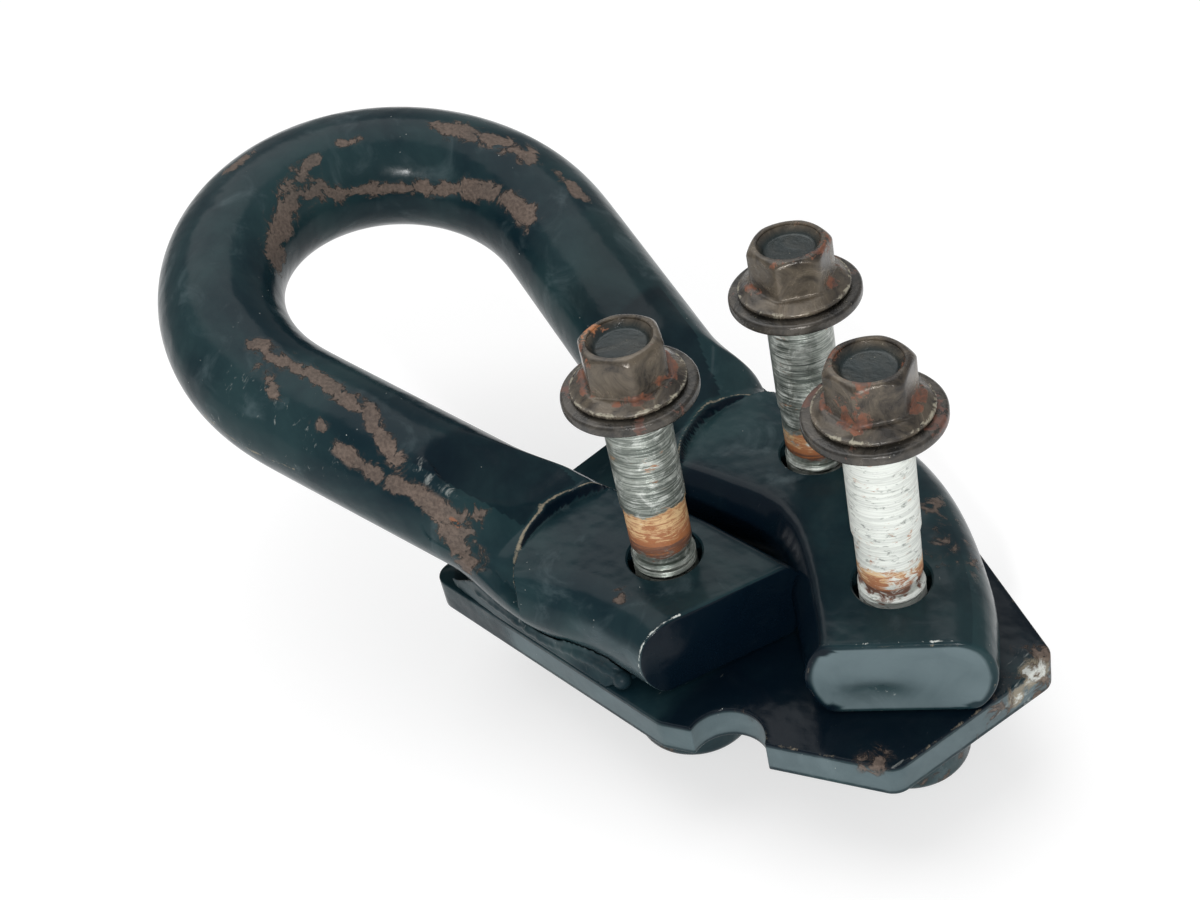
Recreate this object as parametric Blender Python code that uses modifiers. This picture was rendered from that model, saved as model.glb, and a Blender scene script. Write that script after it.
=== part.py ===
"""Bolt-on towing eye forged from one round bar.

The bar is bent to a teardrop eye. Both of its legs are pressed flat into pads, which are welded to
a base plate. Three flange bolts with captive washers clamp the vehicle's rail against the pads and
screw into round bosses under the plate.

Frame: X is the eye's line of symmetry and points from the pads to the eye, Y points to the left
leg and Z points to the bolt heads. The hook is laid out from a corner point on the pads' top plane
and hangs on an empty, so that the world's origin is the seat point of the right pad.
"""

import math

import bmesh
import bpy
from mathutils import Matrix, Vector

# Driving dimensions, in metres and degrees
CLEARANCE = 0.0003
BAR_DIAMETER = 0.0302
EYE_RADIUS = 0.0437
EYE_REACH = 0.0763
LEG_ANGLE = 15.0
EYE_TILT = 19.5
SHOULDER_X = 0.0743

PAD_THICKNESS = 0.0195
LEFT_PAD_WIDTH = 0.0385
RIGHT_PAD_WIDTH = 0.0405
RIGHT_PAD_END_WIDTH = 0.0375
LEFT_PAD_OVERHANG = 0.0190
RIGHT_PAD_OVERHANG = 0.0184
LEFT_END_SKEW = 19.0
LEFT_END_RUN_IN = 0.0040
PAD_END_ROUNDING = 0.0030
LEFT_PAD_SHIFT = 0.0024
RIGHT_PAD_SHIFT = 0.0019
RIGHT_PAD_SWING = 14.0
RIGHT_END_SWING = 12.0
PRESS_RUN = 0.0200

SHOULDER_STEP = 0.0027
SHOULDER_RADIUS = 0.0248
FACET_ANGLE = 38.7
LEFT_NOSE_AHEAD = 0.0049
LEFT_NOSE_ASIDE = 0.0060
RIGHT_NOSE_AHEAD = 0.0033
RIGHT_NOSE_ASIDE = 0.0042

BOLT_1_X = 0.0441
BOLT_1_Y = 0.0155
BOLT_2_X = 0.0397
BOLT_2_Y = -0.0287
BOLT_3_X = 0.0
BOLT_3_Y = -0.0062
BOLT_1_RISE = 0.0432
BOLT_2_RISE = 0.0415
BOLT_3_RISE = 0.0418
BOLT_1_TURN = -3.5
BOLT_2_TURN = 22.6
BOLT_3_TURN = 23.0
BOLT_HOLE_DIAMETER = 0.0162

SHANK_DIAMETER = 0.0140
THREAD_DIAMETER = 0.0134
NECK_DIAMETER = 0.0128
BOLT_LENGTH = 0.0850
THREAD_LENGTH = 0.0430
NECK_LENGTH = 0.0060
TIP_CHAMFER = 0.0015
HEX_WIDTH = 0.0160
HEX_HEIGHT = 0.0087
HEX_CHAMFER = 0.0013
DISH_DIAMETER = 0.0120
DISH_DEPTH = 0.0022
FLANGE_DIAMETER = 0.0238
FLANGE_RIM = 0.0011
FLANGE_HEIGHT = 0.0026
WASHER_DIAMETER = 0.0281
WASHER_THICKNESS = 0.0026
WASHER_EDGE = 0.0008

PLATE_THICKNESS = 0.0080
PLATE_CORNER_RADIUS = 0.0045
PLATE_REAR_X = 0.1020
PLATE_LEFT_Y = 0.0397
PLATE_RIGHT_Y = -0.0490
PLATE_FRONT_LEFT_X = 0.0265
PLATE_FRONT_RIGHT_X = 0.0235
PLATE_NOSE_LEFT_X = -0.0205
PLATE_NOSE_LEFT_Y = 0.0199
PLATE_NOSE_RIGHT_X = -0.0272
PLATE_NOSE_RIGHT_Y = -0.0230
NOTCH_X = 0.0120
NOTCH_Y = 0.0346
NOTCH_RADIUS = 0.0082

BOSS_DIAMETER = 0.0272
BOSS_HEIGHT = 0.0225
BOSS_ROUNDING = 0.0025
RING_LEG = 0.0030

WELD_LEG = 0.0023
WELD_TOP_ANGLE = 18.0
WELD_ROOT_ANGLE = 36.0
WELD_REAR_X = 0.0830
LEFT_WELD_FRONT_X = 0.0350
RIGHT_WELD_FRONT_X = 0.0240
WELD_RIPPLE = 0.0003

SEAT_X = 0.0203
SEAT_Y = -0.0171

# Shares that shape a bend, the press run, a weld's crown and a bolt's head
SWING_PULL = 0.36
SPREAD_LEAD = 0.75
SINK_LEAD = 0.35
WELD_CROWN = 0.22
RING_CROWN = 0.12
WELD_TAPER_START = 0.4
WELD_TAPER_STEP = 0.3
DISH_WALL_SHARE = 0.6
RIM_DROP_SHARE = 0.2
HEAD_ROOT_SHARE = 0.4

# Resolution of the modelled surfaces
SECTION_POINTS = 32
TURNED_STEPS = 32
CORNER_STEPS = 5
NOSE_STEPS = 12
EYE_STEPS = 26
LEG_STEPS = 7
BEND_STEPS = 6
PAD_STEPS = 5
END_STEPS = 3
WELD_FACE_STEPS = 4
CUTTER_MARGIN = 0.0600

BAR_RADIUS = BAR_DIAMETER / 2
BAR_REST_Z = -PAD_THICKNESS + BAR_RADIUS
PAD_SINK = BAR_RADIUS - PAD_THICKNESS / 2
PLATE_TOP_Z = -PAD_THICKNESS - CLEARANCE
PLATE_BOTTOM_Z = PLATE_TOP_Z - PLATE_THICKNESS
BOSS_TOP_Z = PLATE_BOTTOM_Z - CLEARANCE

BOLTS = (
    (BOLT_1_X, BOLT_1_Y, BOLT_1_RISE),
    (BOLT_2_X, BOLT_2_Y, BOLT_2_RISE),
    (BOLT_3_X, BOLT_3_Y, BOLT_3_RISE),
)
BOLT_TURNS = (BOLT_1_TURN, BOLT_2_TURN, BOLT_3_TURN)

# Each leg's shoulder is the edge of a round-nosed press tool, centred near the leg's first bolt
LEFT_NOSE = Vector((BOLT_1_X + LEFT_NOSE_AHEAD, BOLT_1_Y + LEFT_NOSE_ASIDE, 0.0))
RIGHT_NOSE = Vector((BOLT_2_X + RIGHT_NOSE_AHEAD, BOLT_2_Y + RIGHT_NOSE_ASIDE, 0.0))


class Station:
    """One section of the bar: its centre, the directions along, across and up, and its half width."""

    def __init__(self, centre, along, side, half_width):
        self.centre = centre
        self.along = along
        self.side = side
        self.up = side.cross(along).normalized()
        self.half_width = half_width

    def point(self, across, above):
        return self.centre + self.side * across + self.up * above


def clear_scene():
    for item in list(bpy.data.objects):
        bpy.data.objects.remove(item, do_unlink=True)


def make_collection(name):
    group = bpy.data.collections.new(name)
    bpy.context.scene.collection.children.link(group)
    return group


def make_material(name, colour, roughness, metallic):
    material = bpy.data.materials.new(name)
    material.use_nodes = True
    shader = material.node_tree.nodes["Principled BSDF"]
    shader.inputs["Base Color"].default_value = (*colour, 1.0)
    shader.inputs["Roughness"].default_value = roughness
    shader.inputs["Metallic"].default_value = metallic
    return material


def add_object(name, mesh, group, parent, material=None):
    item = bpy.data.objects.new(name, mesh)
    group.objects.link(item)
    item.parent = parent
    if material:
        mesh.materials.append(material)
    else:
        item.hide_render = True
        item.display_type = "WIRE"
    return item


def mesh_from_bmesh(name, shape, weld=0.0):
    if weld:
        bmesh.ops.remove_doubles(shape, verts=shape.verts, dist=weld)
    bmesh.ops.recalc_face_normals(shape, faces=shape.faces)
    mesh = bpy.data.meshes.new(name)
    shape.to_mesh(mesh)
    shape.free()
    return mesh


def shade(item, degrees=35.0):
    item.data.shade_smooth()
    item.data.set_sharp_from_angle(angle=math.radians(degrees))


def boolean(item, tool, operation="DIFFERENCE"):
    modifier = item.modifiers.new(tool.name, "BOOLEAN")
    modifier.operation = operation
    modifier.solver = "EXACT"
    modifier.object = tool


def loft_mesh(name, rings):
    """A closed solid through rings of equal point counts, capped at both ends."""
    shape = bmesh.new()
    rows = [[shape.verts.new(point) for point in ring] for ring in rings]
    count = len(rings[0])
    for first, second in zip(rows, rows[1:]):
        for index in range(count):
            after = (index + 1) % count
            shape.faces.new((first[index], first[after], second[after], second[index]))
    shape.faces.new(list(reversed(rows[0])))
    shape.faces.new(rows[-1])
    return mesh_from_bmesh(name, shape)


def turned_mesh(name, profile):
    """A solid of revolution about Z from (radius, height) points that run down its outer side."""
    mesh = bpy.data.meshes.new(name + "_profile")
    points = [(radius, 0.0, height) for radius, height in profile]
    edges = [(index, index + 1) for index in range(len(points) - 1)]
    if profile[0][0] > 0.0:
        edges.append((len(points) - 1, 0))
    mesh.from_pydata(points, edges, [])
    item = bpy.data.objects.new(name, mesh)
    bpy.context.scene.collection.objects.link(item)
    screw = item.modifiers.new("turn", "SCREW")
    screw.angle = 2 * math.pi
    screw.steps = TURNED_STEPS
    screw.render_steps = TURNED_STEPS
    screw.use_merge_vertices = True
    screw.merge_threshold = 0.00001
    return evaluated_mesh(name, item)


def prism_mesh(name, outline, thickness):
    """A flat outline in XY, extruded by half its thickness to both sides."""
    curve = bpy.data.curves.new(name, "CURVE")
    curve.dimensions = "2D"
    curve.fill_mode = "BOTH"
    curve.extrude = thickness / 2
    spline = curve.splines.new("POLY")
    spline.points.add(len(outline) - 1)
    for point, place in zip(spline.points, outline):
        point.co = (place[0], place[1], 0.0, 1.0)
    spline.use_cyclic_u = True
    item = bpy.data.objects.new(name, curve)
    bpy.context.scene.collection.objects.link(item)
    return evaluated_mesh(name, item)


def evaluated_mesh(name, item):
    """The welded mesh of an object's modifiers or curve; the object itself is removed."""
    graph = bpy.context.evaluated_depsgraph_get()
    mesh = bpy.data.meshes.new_from_object(item.evaluated_get(graph))
    bpy.data.objects.remove(item, do_unlink=True)
    shape = bmesh.new()
    shape.from_mesh(mesh)
    bpy.data.meshes.remove(mesh)
    return mesh_from_bmesh(name, shape, weld=0.00001)


def cylinder_mesh(name, radius, height, segments=TURNED_STEPS):
    shape = bmesh.new()
    bmesh.ops.create_cone(
        shape, cap_ends=True, segments=segments, radius1=radius, radius2=radius, depth=height
    )
    return mesh_from_bmesh(name, shape)


def box_mesh(name, size):
    shape = bmesh.new()
    bmesh.ops.create_cube(shape, size=1.0)
    bmesh.ops.scale(shape, vec=size, verts=shape.verts)
    return mesh_from_bmesh(name, shape)


def smooth(value):
    value = min(max(value, 0.0), 1.0)
    return value * value * (3.0 - 2.0 * value)


def turned_about_z(direction, degrees):
    return Matrix.Rotation(math.radians(degrees), 3, "Z") @ direction


def flat(vector):
    return Vector((vector.x, vector.y, 0.0))


# The route of the bar


def eye_point(reach, across):
    """A point on the tilted plane that holds the centre line of the eye and both legs."""
    tilt = math.radians(EYE_TILT)
    return Vector((SHOULDER_X + reach * math.cos(tilt), across, BAR_REST_Z + reach * math.sin(tilt)))


def eye_points():
    """Centre line of the two straight legs and the loop, from the left shoulder to the right."""
    slope = math.radians(LEG_ANGLE)
    tangent_reach = EYE_REACH - EYE_RADIUS * math.sin(slope)
    tangent_across = EYE_RADIUS * math.cos(slope)
    leg = []
    for step in range(LEG_STEPS):
        reach = tangent_reach * step / LEG_STEPS
        leg.append((reach, tangent_across - (tangent_reach - reach) * math.tan(slope)))
    loop = []
    sweep = math.pi + 2 * slope
    for step in range(EYE_STEPS + 1):
        angle = sweep / 2 - sweep * step / EYE_STEPS
        loop.append((EYE_REACH + EYE_RADIUS * math.cos(angle), EYE_RADIUS * math.sin(angle)))
    mirrored_leg = [(reach, -across) for reach, across in reversed(leg)]
    return [eye_point(reach, across) for reach, across in leg + loop + mirrored_leg]


def bend(start, start_heading, end, end_heading, pull, steps):
    """Points of a smooth bend between two headings, without its first point."""
    start_handle = start + start_heading * pull
    end_handle = end - end_heading * pull
    points = []
    for step in range(1, steps + 1):
        t = step / steps
        keep = 1.0 - t
        points.append(
            start * keep ** 3
            + start_handle * (3 * keep ** 2 * t)
            + end_handle * (3 * keep * t ** 2)
            + end * t ** 3
        )
    return points


def left_pad_points(shoulder, heading):
    """Centre line of the short straight pad, from the shoulder to its sheared end."""
    forwards = Vector((-1.0, 0.0, 0.0))
    over_bolt = Vector((BOLT_1_X, BOLT_1_Y + LEFT_PAD_SHIFT, 0.0))
    end = over_bolt + forwards * (LEFT_PAD_OVERHANG - PAD_END_ROUNDING)
    points = bend(shoulder, heading, over_bolt, forwards, (shoulder - over_bolt).length / 3, BEND_STEPS)
    return points + bend(over_bolt, forwards, end, forwards, (end - over_bolt).length / 3, PAD_STEPS)


def right_pad_points(shoulder, heading):
    """Centre line of the long pad, which swings inwards round bolt 2 and runs over bolt 3."""
    forwards = Vector((-1.0, 0.0, 0.0))
    over_bolt_2 = Vector((BOLT_2_X, BOLT_2_Y + RIGHT_PAD_SHIFT, 0.0))
    over_bolt_3 = Vector((BOLT_3_X, BOLT_3_Y, 0.0))
    span = over_bolt_3 - over_bolt_2
    inwards = turned_about_z(span.normalized(), -RIGHT_PAD_SWING)
    end_heading = turned_about_z(inwards, -RIGHT_END_SWING)
    tail = RIGHT_PAD_OVERHANG - PAD_END_ROUNDING
    end = over_bolt_3 + turned_about_z(inwards, -RIGHT_END_SWING / 2) * tail
    points = bend(shoulder, heading, over_bolt_2, forwards, (shoulder - over_bolt_2).length / 3, BEND_STEPS)
    points += bend(over_bolt_2, forwards, over_bolt_3, inwards, span.length * SWING_PULL, 2 * BEND_STEPS)
    return points + bend(over_bolt_3, inwards, end, end_heading, tail / 3, PAD_STEPS)


def pressed(x, lead):
    """How far the press has flattened the bar: 0 in the eye, 1 in the pads."""
    return smooth((SHOULDER_X - x) / PRESS_RUN + lead)


def bar_half_width(point, is_left):
    if is_left:
        pad_width = LEFT_PAD_WIDTH
    else:
        tail = smooth((BOLT_3_X - point.x) / RIGHT_PAD_OVERHANG)
        pad_width = RIGHT_PAD_WIDTH + (RIGHT_PAD_END_WIDTH - RIGHT_PAD_WIDTH) * tail
    return BAR_RADIUS + (pad_width / 2 - BAR_RADIUS) * pressed(point.x, SPREAD_LEAD)


def rounded_end(station, direction):
    """Stations that round the upright corners of a pad's end."""
    ends = []
    for step in range(1, END_STEPS + 1):
        angle = math.pi / 2 * step / END_STEPS
        centre = station.centre + direction * PAD_END_ROUNDING * math.sin(angle)
        inset = PAD_END_ROUNDING * (1.0 - math.cos(angle))
        ends.append(Station(centre, station.along, station.side, station.half_width - inset))
    return ends


def bar_stations():
    """Stations along the whole bar, from the left pad's end round the eye to the right pad's end."""
    eye = eye_points()
    rest = Vector((0.0, 0.0, BAR_REST_Z))
    left = left_pad_points(flat(eye[0]), flat(eye[0] - eye[1]).normalized())
    right = right_pad_points(flat(eye[-1]), flat(eye[-1] - eye[-2]).normalized())
    route = [point + rest for point in reversed(left)] + eye + [point + rest for point in right]
    for point in route:
        point.z -= PAD_SINK * pressed(point.x, SINK_LEAD)

    stations = []
    for index, point in enumerate(route):
        before = route[max(index - 1, 0)]
        after = route[min(index + 1, len(route) - 1)]
        along = (after - before).normalized()
        if index <= len(left) or index >= len(left) + len(eye) - 1:
            along = flat(along).normalized()
        side = Vector((along.y, -along.x, 0.0)).normalized()
        is_left = index < len(route) / 2
        skew = 0.0
        if is_left:
            skew = LEFT_END_SKEW * smooth((BOLT_1_X + LEFT_END_RUN_IN - point.x) / LEFT_PAD_OVERHANG)
        half_width = bar_half_width(point, is_left) / math.cos(math.radians(skew))
        skewed_side = turned_about_z(side, -skew)
        stations.append(Station(point, turned_about_z(along, -skew), skewed_side, half_width))
    start = list(reversed(rounded_end(stations[0], -stations[0].along)))
    return start + stations + rounded_end(stations[-1], stations[-1].along)


def bar_section(station):
    """The bar's oval section: round in the eye, spread sideways in the pads."""
    ring = []
    for index in range(SECTION_POINTS):
        angle = 2 * math.pi * (index + 0.5) / SECTION_POINTS
        ring.append(station.point(station.half_width * math.cos(angle), BAR_RADIUS * math.sin(angle)))
    return ring


# The press tools that flatten the bar


def nose_arc(centre, start_degrees, end_degrees):
    arc = []
    for step in range(NOSE_STEPS + 1):
        angle = math.radians(start_degrees + (end_degrees - start_degrees) * step / NOSE_STEPS)
        x = centre.x + SHOULDER_RADIUS * math.cos(angle)
        y = centre.y + SHOULDER_RADIUS * math.sin(angle)
        arc.append((x, y))
    return arc


def parting_angle():
    """How far below its crown each nose's arc runs before it meets the other nose, or its own side."""
    half_gap = (LEFT_NOSE.y - RIGHT_NOSE.y) / 2
    if half_gap >= SHOULDER_RADIUS:
        return 90.0
    return math.degrees(math.asin(half_gap / SHOULDER_RADIUS))


def pad_tool(group, datum):
    """The tool that presses both pads flat; its two round noses leave the shoulders."""
    far_x = BOLT_3_X - CUTTER_MARGIN
    outline = [(far_x, RIGHT_NOSE.y - SHOULDER_RADIUS), (far_x, LEFT_NOSE.y + SHOULDER_RADIUS)]
    outline += nose_arc(LEFT_NOSE, 90.0, -parting_angle())
    outline += nose_arc(RIGHT_NOSE, parting_angle(), -90.0)
    tool = add_object("pad_tool", prism_mesh("pad_tool", outline, CUTTER_MARGIN), group, datum)
    tool.location = (0.0, 0.0, CUTTER_MARGIN / 2)
    return tool


def facet_tool(name, nose, middle_y, group, datum):
    """The slanted tool face that planes the top of one leg, from its shoulder up to the eye."""
    start = nose.x + SHOULDER_RADIUS
    rise = CUTTER_MARGIN * math.tan(math.radians(FACET_ANGLE))
    outline = [
        (start - SHOULDER_RADIUS, SHOULDER_STEP),
        (start, SHOULDER_STEP),
        (start + CUTTER_MARGIN, SHOULDER_STEP + rise),
        (start - SHOULDER_RADIUS, SHOULDER_STEP + rise),
    ]
    tool = add_object(name, prism_mesh(name, outline, 2 * EYE_RADIUS), group, datum)
    tool.rotation_euler = (math.pi / 2, 0.0, 0.0)
    tool.location = (0.0, middle_y, 0.0)
    return tool


def anvil_tool(group, datum):
    """The flat anvil, whose face is the pads' underside."""
    reach = EYE_REACH + EYE_RADIUS + BAR_RADIUS + CUTTER_MARGIN
    size = (2 * reach, 2 * reach, CUTTER_MARGIN)
    tool = add_object("anvil_tool", box_mesh("anvil_tool", size), group, datum)
    tool.location = (SHOULDER_X, 0.0, -PAD_THICKNESS - CUTTER_MARGIN / 2)
    return tool


def hole_tool(number, place, group, datum):
    height = PAD_THICKNESS + PLATE_THICKNESS + CUTTER_MARGIN
    name = f"hole_tool_{number}"
    tool = add_object(name, cylinder_mesh(name, BOLT_HOLE_DIAMETER / 2, height), group, datum)
    tool.location = (place[0], place[1], -PAD_THICKNESS)
    return tool


def make_tow_loop(group, cutters, datum, holes, material):
    rings = [bar_section(station) for station in bar_stations()]
    loop = add_object("tow_loop", loft_mesh("tow_loop", rings), group, datum, material)
    boolean(loop, anvil_tool(cutters, datum))
    boolean(loop, facet_tool("left_facet_tool", LEFT_NOSE, EYE_RADIUS, cutters, datum))
    boolean(loop, facet_tool("right_facet_tool", RIGHT_NOSE, -EYE_RADIUS, cutters, datum))
    boolean(loop, pad_tool(cutters, datum))
    for hole in holes:
        boolean(loop, hole)
    shade(loop)
    return loop


# The base plate and what is welded to it


def rounded_outline(corners):
    """Points of a closed outline from (x, y, radius) corners, each rounded by an arc."""
    points = []
    count = len(corners)
    for index, (x, y, radius) in enumerate(corners):
        corner = Vector((x, y))
        before = Vector(corners[index - 1][:2]) - corner
        after = Vector(corners[(index + 1) % count][:2]) - corner
        half = before.angle(after) / 2
        start = corner + before.normalized() * radius / math.tan(half)
        end = corner + after.normalized() * radius / math.tan(half)
        centre = corner + (before.normalized() + after.normalized()).normalized() * radius / math.sin(half)
        sweep = (start - centre).angle_signed(end - centre)
        for step in range(CORNER_STEPS + 1):
            turn = Matrix.Rotation(-sweep * step / CORNER_STEPS, 2)
            points.append(centre + turn @ (start - centre))
    return points


def make_base_plate(group, cutters, datum, holes, material):
    corners = (
        (PLATE_REAR_X, PLATE_LEFT_Y, PLATE_CORNER_RADIUS),
        (PLATE_FRONT_LEFT_X, PLATE_LEFT_Y, PLATE_CORNER_RADIUS),
        (PLATE_NOSE_LEFT_X, PLATE_NOSE_LEFT_Y, PLATE_CORNER_RADIUS),
        (PLATE_NOSE_RIGHT_X, PLATE_NOSE_RIGHT_Y, PLATE_CORNER_RADIUS),
        (PLATE_FRONT_RIGHT_X, PLATE_RIGHT_Y, PLATE_CORNER_RADIUS),
        (PLATE_REAR_X, PLATE_RIGHT_Y, PLATE_CORNER_RADIUS),
    )
    mesh = prism_mesh("base_plate", rounded_outline(corners), PLATE_THICKNESS)
    plate = add_object("base_plate", mesh, group, datum, material)
    plate.location = (0.0, 0.0, (PLATE_TOP_Z + PLATE_BOTTOM_Z) / 2)
    notch_mesh = cylinder_mesh("notch_tool", NOTCH_RADIUS, CUTTER_MARGIN)
    notch = add_object("notch_tool", notch_mesh, cutters, datum)
    notch.location = (NOTCH_X, NOTCH_Y, PLATE_TOP_Z)
    boolean(plate, notch)
    for hole in holes:
        boolean(plate, hole)
    shade(plate)
    return plate


def make_boss(number, place, group, datum, material):
    """A round boss with a threaded bore, whose lower outer edge is rounded."""
    outer = BOSS_DIAMETER / 2
    bore = THREAD_DIAMETER / 2 + CLEARANCE
    profile = [(bore, 0.0), (outer, 0.0)]
    for step in range(CORNER_STEPS + 1):
        angle = math.pi / 2 * step / CORNER_STEPS
        profile.append((
            outer - BOSS_ROUNDING * (1.0 - math.cos(angle)),
            -BOSS_HEIGHT + BOSS_ROUNDING * (1.0 - math.sin(angle)),
        ))
    profile.append((bore, -BOSS_HEIGHT))
    name = f"weld_boss_{number}"
    boss = add_object(name, turned_mesh(name, profile), group, datum, material)
    boss.location = (place[0], place[1], BOSS_TOP_Z)
    shade(boss)


def make_ring_weld(number, place, group, datum, material):
    """The fillet weld in the corner between a boss and the plate's underside."""
    inner = BOSS_DIAMETER / 2 + CLEARANCE
    profile = [(inner, 0.0), (inner + RING_LEG, 0.0)]
    for step in range(1, CORNER_STEPS):
        share = step / CORNER_STEPS
        bulge = RING_LEG * RING_CROWN * math.sin(math.pi * share)
        profile.append((inner + RING_LEG * (1.0 - share) + bulge, -RING_LEG * share - bulge))
    profile.append((inner, -RING_LEG))
    name = f"ring_weld_{number}"
    ring = add_object(name, turned_mesh(name, profile), group, datum, material)
    ring.location = (place[0], place[1], BOSS_TOP_Z)
    shade(ring)


def weld_section(station, size):
    """The weld's section: it fills the corner under the bar's outer side and stands on the plate."""
    bottom = PLATE_TOP_Z + 2 * CLEARANCE
    ring = []
    for step in range(WELD_FACE_STEPS):
        share = step / WELD_FACE_STEPS
        angle = math.radians(WELD_TOP_ANGLE + (WELD_ROOT_ANGLE - WELD_TOP_ANGLE) * share)
        across = -(station.half_width + CLEARANCE) * math.cos(angle)
        ring.append(station.point(across, -(BAR_RADIUS + CLEARANCE) * math.sin(angle)))
    root = math.cos(math.radians(WELD_ROOT_ANGLE))
    inner = station.point(-(station.half_width + CLEARANCE) * root, 0.0)
    toe = station.point(-station.half_width - size, 0.0)
    top = ring[0]
    ring.append(Vector((inner.x, inner.y, bottom)))
    ring.append(Vector((toe.x, toe.y, bottom)))
    for step in range(1, WELD_FACE_STEPS):
        share = step / WELD_FACE_STEPS
        middle = Vector((toe.x, toe.y, bottom)).lerp(top, share)
        bulge = size * WELD_CROWN * math.sin(math.pi * share)
        ring.append(middle - station.side * bulge + Vector((0.0, 0.0, bulge / 2)))
    return ring


def weld_stations(stations, rear_x, front_x, is_left):
    """The bar's stations along one weld, with as many again between them."""
    half = len(stations) // 2
    leg = stations[:half] if is_left else stations[half:]
    chosen = [station for station in leg if front_x <= station.centre.x <= rear_x]
    dense = [chosen[0]]
    for first, second in zip(chosen, chosen[1:]):
        dense.append(Station(
            (first.centre + second.centre) / 2,
            (first.along + second.along).normalized(),
            (first.side + second.side).normalized(),
            (first.half_width + second.half_width) / 2,
        ))
        dense.append(second)
    return dense


def make_weld(name, front_x, is_left, group, datum, material):
    """A rippled fillet weld between the outer side of one leg and the plate."""
    stations = weld_stations(bar_stations(), WELD_REAR_X, front_x, is_left)
    rings = []
    last = len(stations) - 1
    for index, station in enumerate(stations):
        taper = min(1.0, WELD_TAPER_START + WELD_TAPER_STEP * min(index, last - index))
        ripple = WELD_RIPPLE * (-1) ** index
        rings.append(weld_section(station, WELD_LEG * taper + ripple))
    weld = add_object(name, loft_mesh(name, rings), group, datum, material)
    shade(weld)
    return weld


# The bolts and their captive washers


def make_washer(number, place, group, datum, material):
    inner = SHANK_DIAMETER / 2 + CLEARANCE
    outer = WASHER_DIAMETER / 2
    profile = (
        (inner, WASHER_THICKNESS),
        (outer - WASHER_EDGE, WASHER_THICKNESS),
        (outer, WASHER_THICKNESS - WASHER_EDGE),
        (outer, WASHER_EDGE),
        (outer - WASHER_EDGE, 0.0),
        (inner, 0.0),
    )
    name = f"washer_{number}"
    washer = add_object(name, turned_mesh(name, profile), group, datum, material)
    washer.location = place
    shade(washer)


def bolt_body_profile():
    """Half section of a bolt without its hexagon, from the flange's top down to the tip."""
    flange = FLANGE_DIAMETER / 2
    shank = SHANK_DIAMETER / 2
    neck = NECK_DIAMETER / 2
    thread = THREAD_DIAMETER / 2
    neck_top = -(BOLT_LENGTH - THREAD_LENGTH - NECK_LENGTH)
    thread_top = neck_top - NECK_LENGTH
    step = shank - neck
    return (
        (0.0, FLANGE_HEIGHT),
        (HEX_WIDTH / 2 - CLEARANCE, FLANGE_HEIGHT),
        (flange - FLANGE_RIM / 2, FLANGE_RIM),
        (flange, FLANGE_RIM / 2),
        (flange, 0.0),
        (shank, 0.0),
        (shank, neck_top + step),
        (neck, neck_top),
        (neck, thread_top),
        (thread, thread_top - (thread - neck)),
        (thread, -BOLT_LENGTH + TIP_CHAMFER),
        (thread - TIP_CHAMFER, -BOLT_LENGTH),
        (0.0, -BOLT_LENGTH),
    )


def crown_profile():
    """The turned shape that rounds the hexagon's upper corners and hollows its top."""
    top = FLANGE_HEIGHT + HEX_HEIGHT
    corner = HEX_WIDTH / 2 / math.cos(math.pi / 6) + CLEARANCE
    shoulder = corner - HEX_WIDTH / 2
    dish_floor = DISH_DIAMETER / 2 - DISH_DEPTH * DISH_WALL_SHARE
    profile = [(0.0, top - DISH_DEPTH), (dish_floor, top - DISH_DEPTH)]
    profile.append((DISH_DIAMETER / 2, top - HEX_CHAMFER * RIM_DROP_SHARE))
    for step in range(CORNER_STEPS):
        angle = math.pi / 2 * step / (CORNER_STEPS - 1)
        profile.append((
            HEX_WIDTH / 2 - HEX_CHAMFER + (HEX_CHAMFER + shoulder) * math.sin(angle),
            top - (HEX_CHAMFER + shoulder) * (1.0 - math.cos(angle)),
        ))
    profile.append((corner, FLANGE_HEIGHT * HEAD_ROOT_SHARE))
    profile.append((0.0, FLANGE_HEIGHT * HEAD_ROOT_SHARE))
    return profile


def make_bolt(number, place, turn, group, cutters, datum, material):
    """A flange bolt; its origin is on its own axis, on the underside of its flange."""
    name = f"bolt_{number}"
    corner = HEX_WIDTH / 2 / math.cos(math.pi / 6)
    seat = Vector((place[0], place[1], place[2] + WASHER_THICKNESS + CLEARANCE))
    bolt = add_object(name, turned_mesh(name, bolt_body_profile()), group, datum, material)
    bolt.location = seat
    bolt.rotation_euler = (0.0, 0.0, math.radians(turn))

    height = HEX_HEIGHT + FLANGE_HEIGHT
    hexagon_mesh = cylinder_mesh(f"hexagon_tool_{number}", corner, height, 6)
    hexagon = add_object(f"hexagon_tool_{number}", hexagon_mesh, cutters, bolt)
    hexagon.location = (0.0, 0.0, height / 2 + FLANGE_HEIGHT / 2)
    crown_mesh = turned_mesh(f"crown_tool_{number}", crown_profile())
    crown = add_object(f"crown_tool_{number}", crown_mesh, cutters, bolt)
    boolean(hexagon, crown, "INTERSECT")
    boolean(bolt, hexagon, "UNION")
    shade(bolt)


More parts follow.
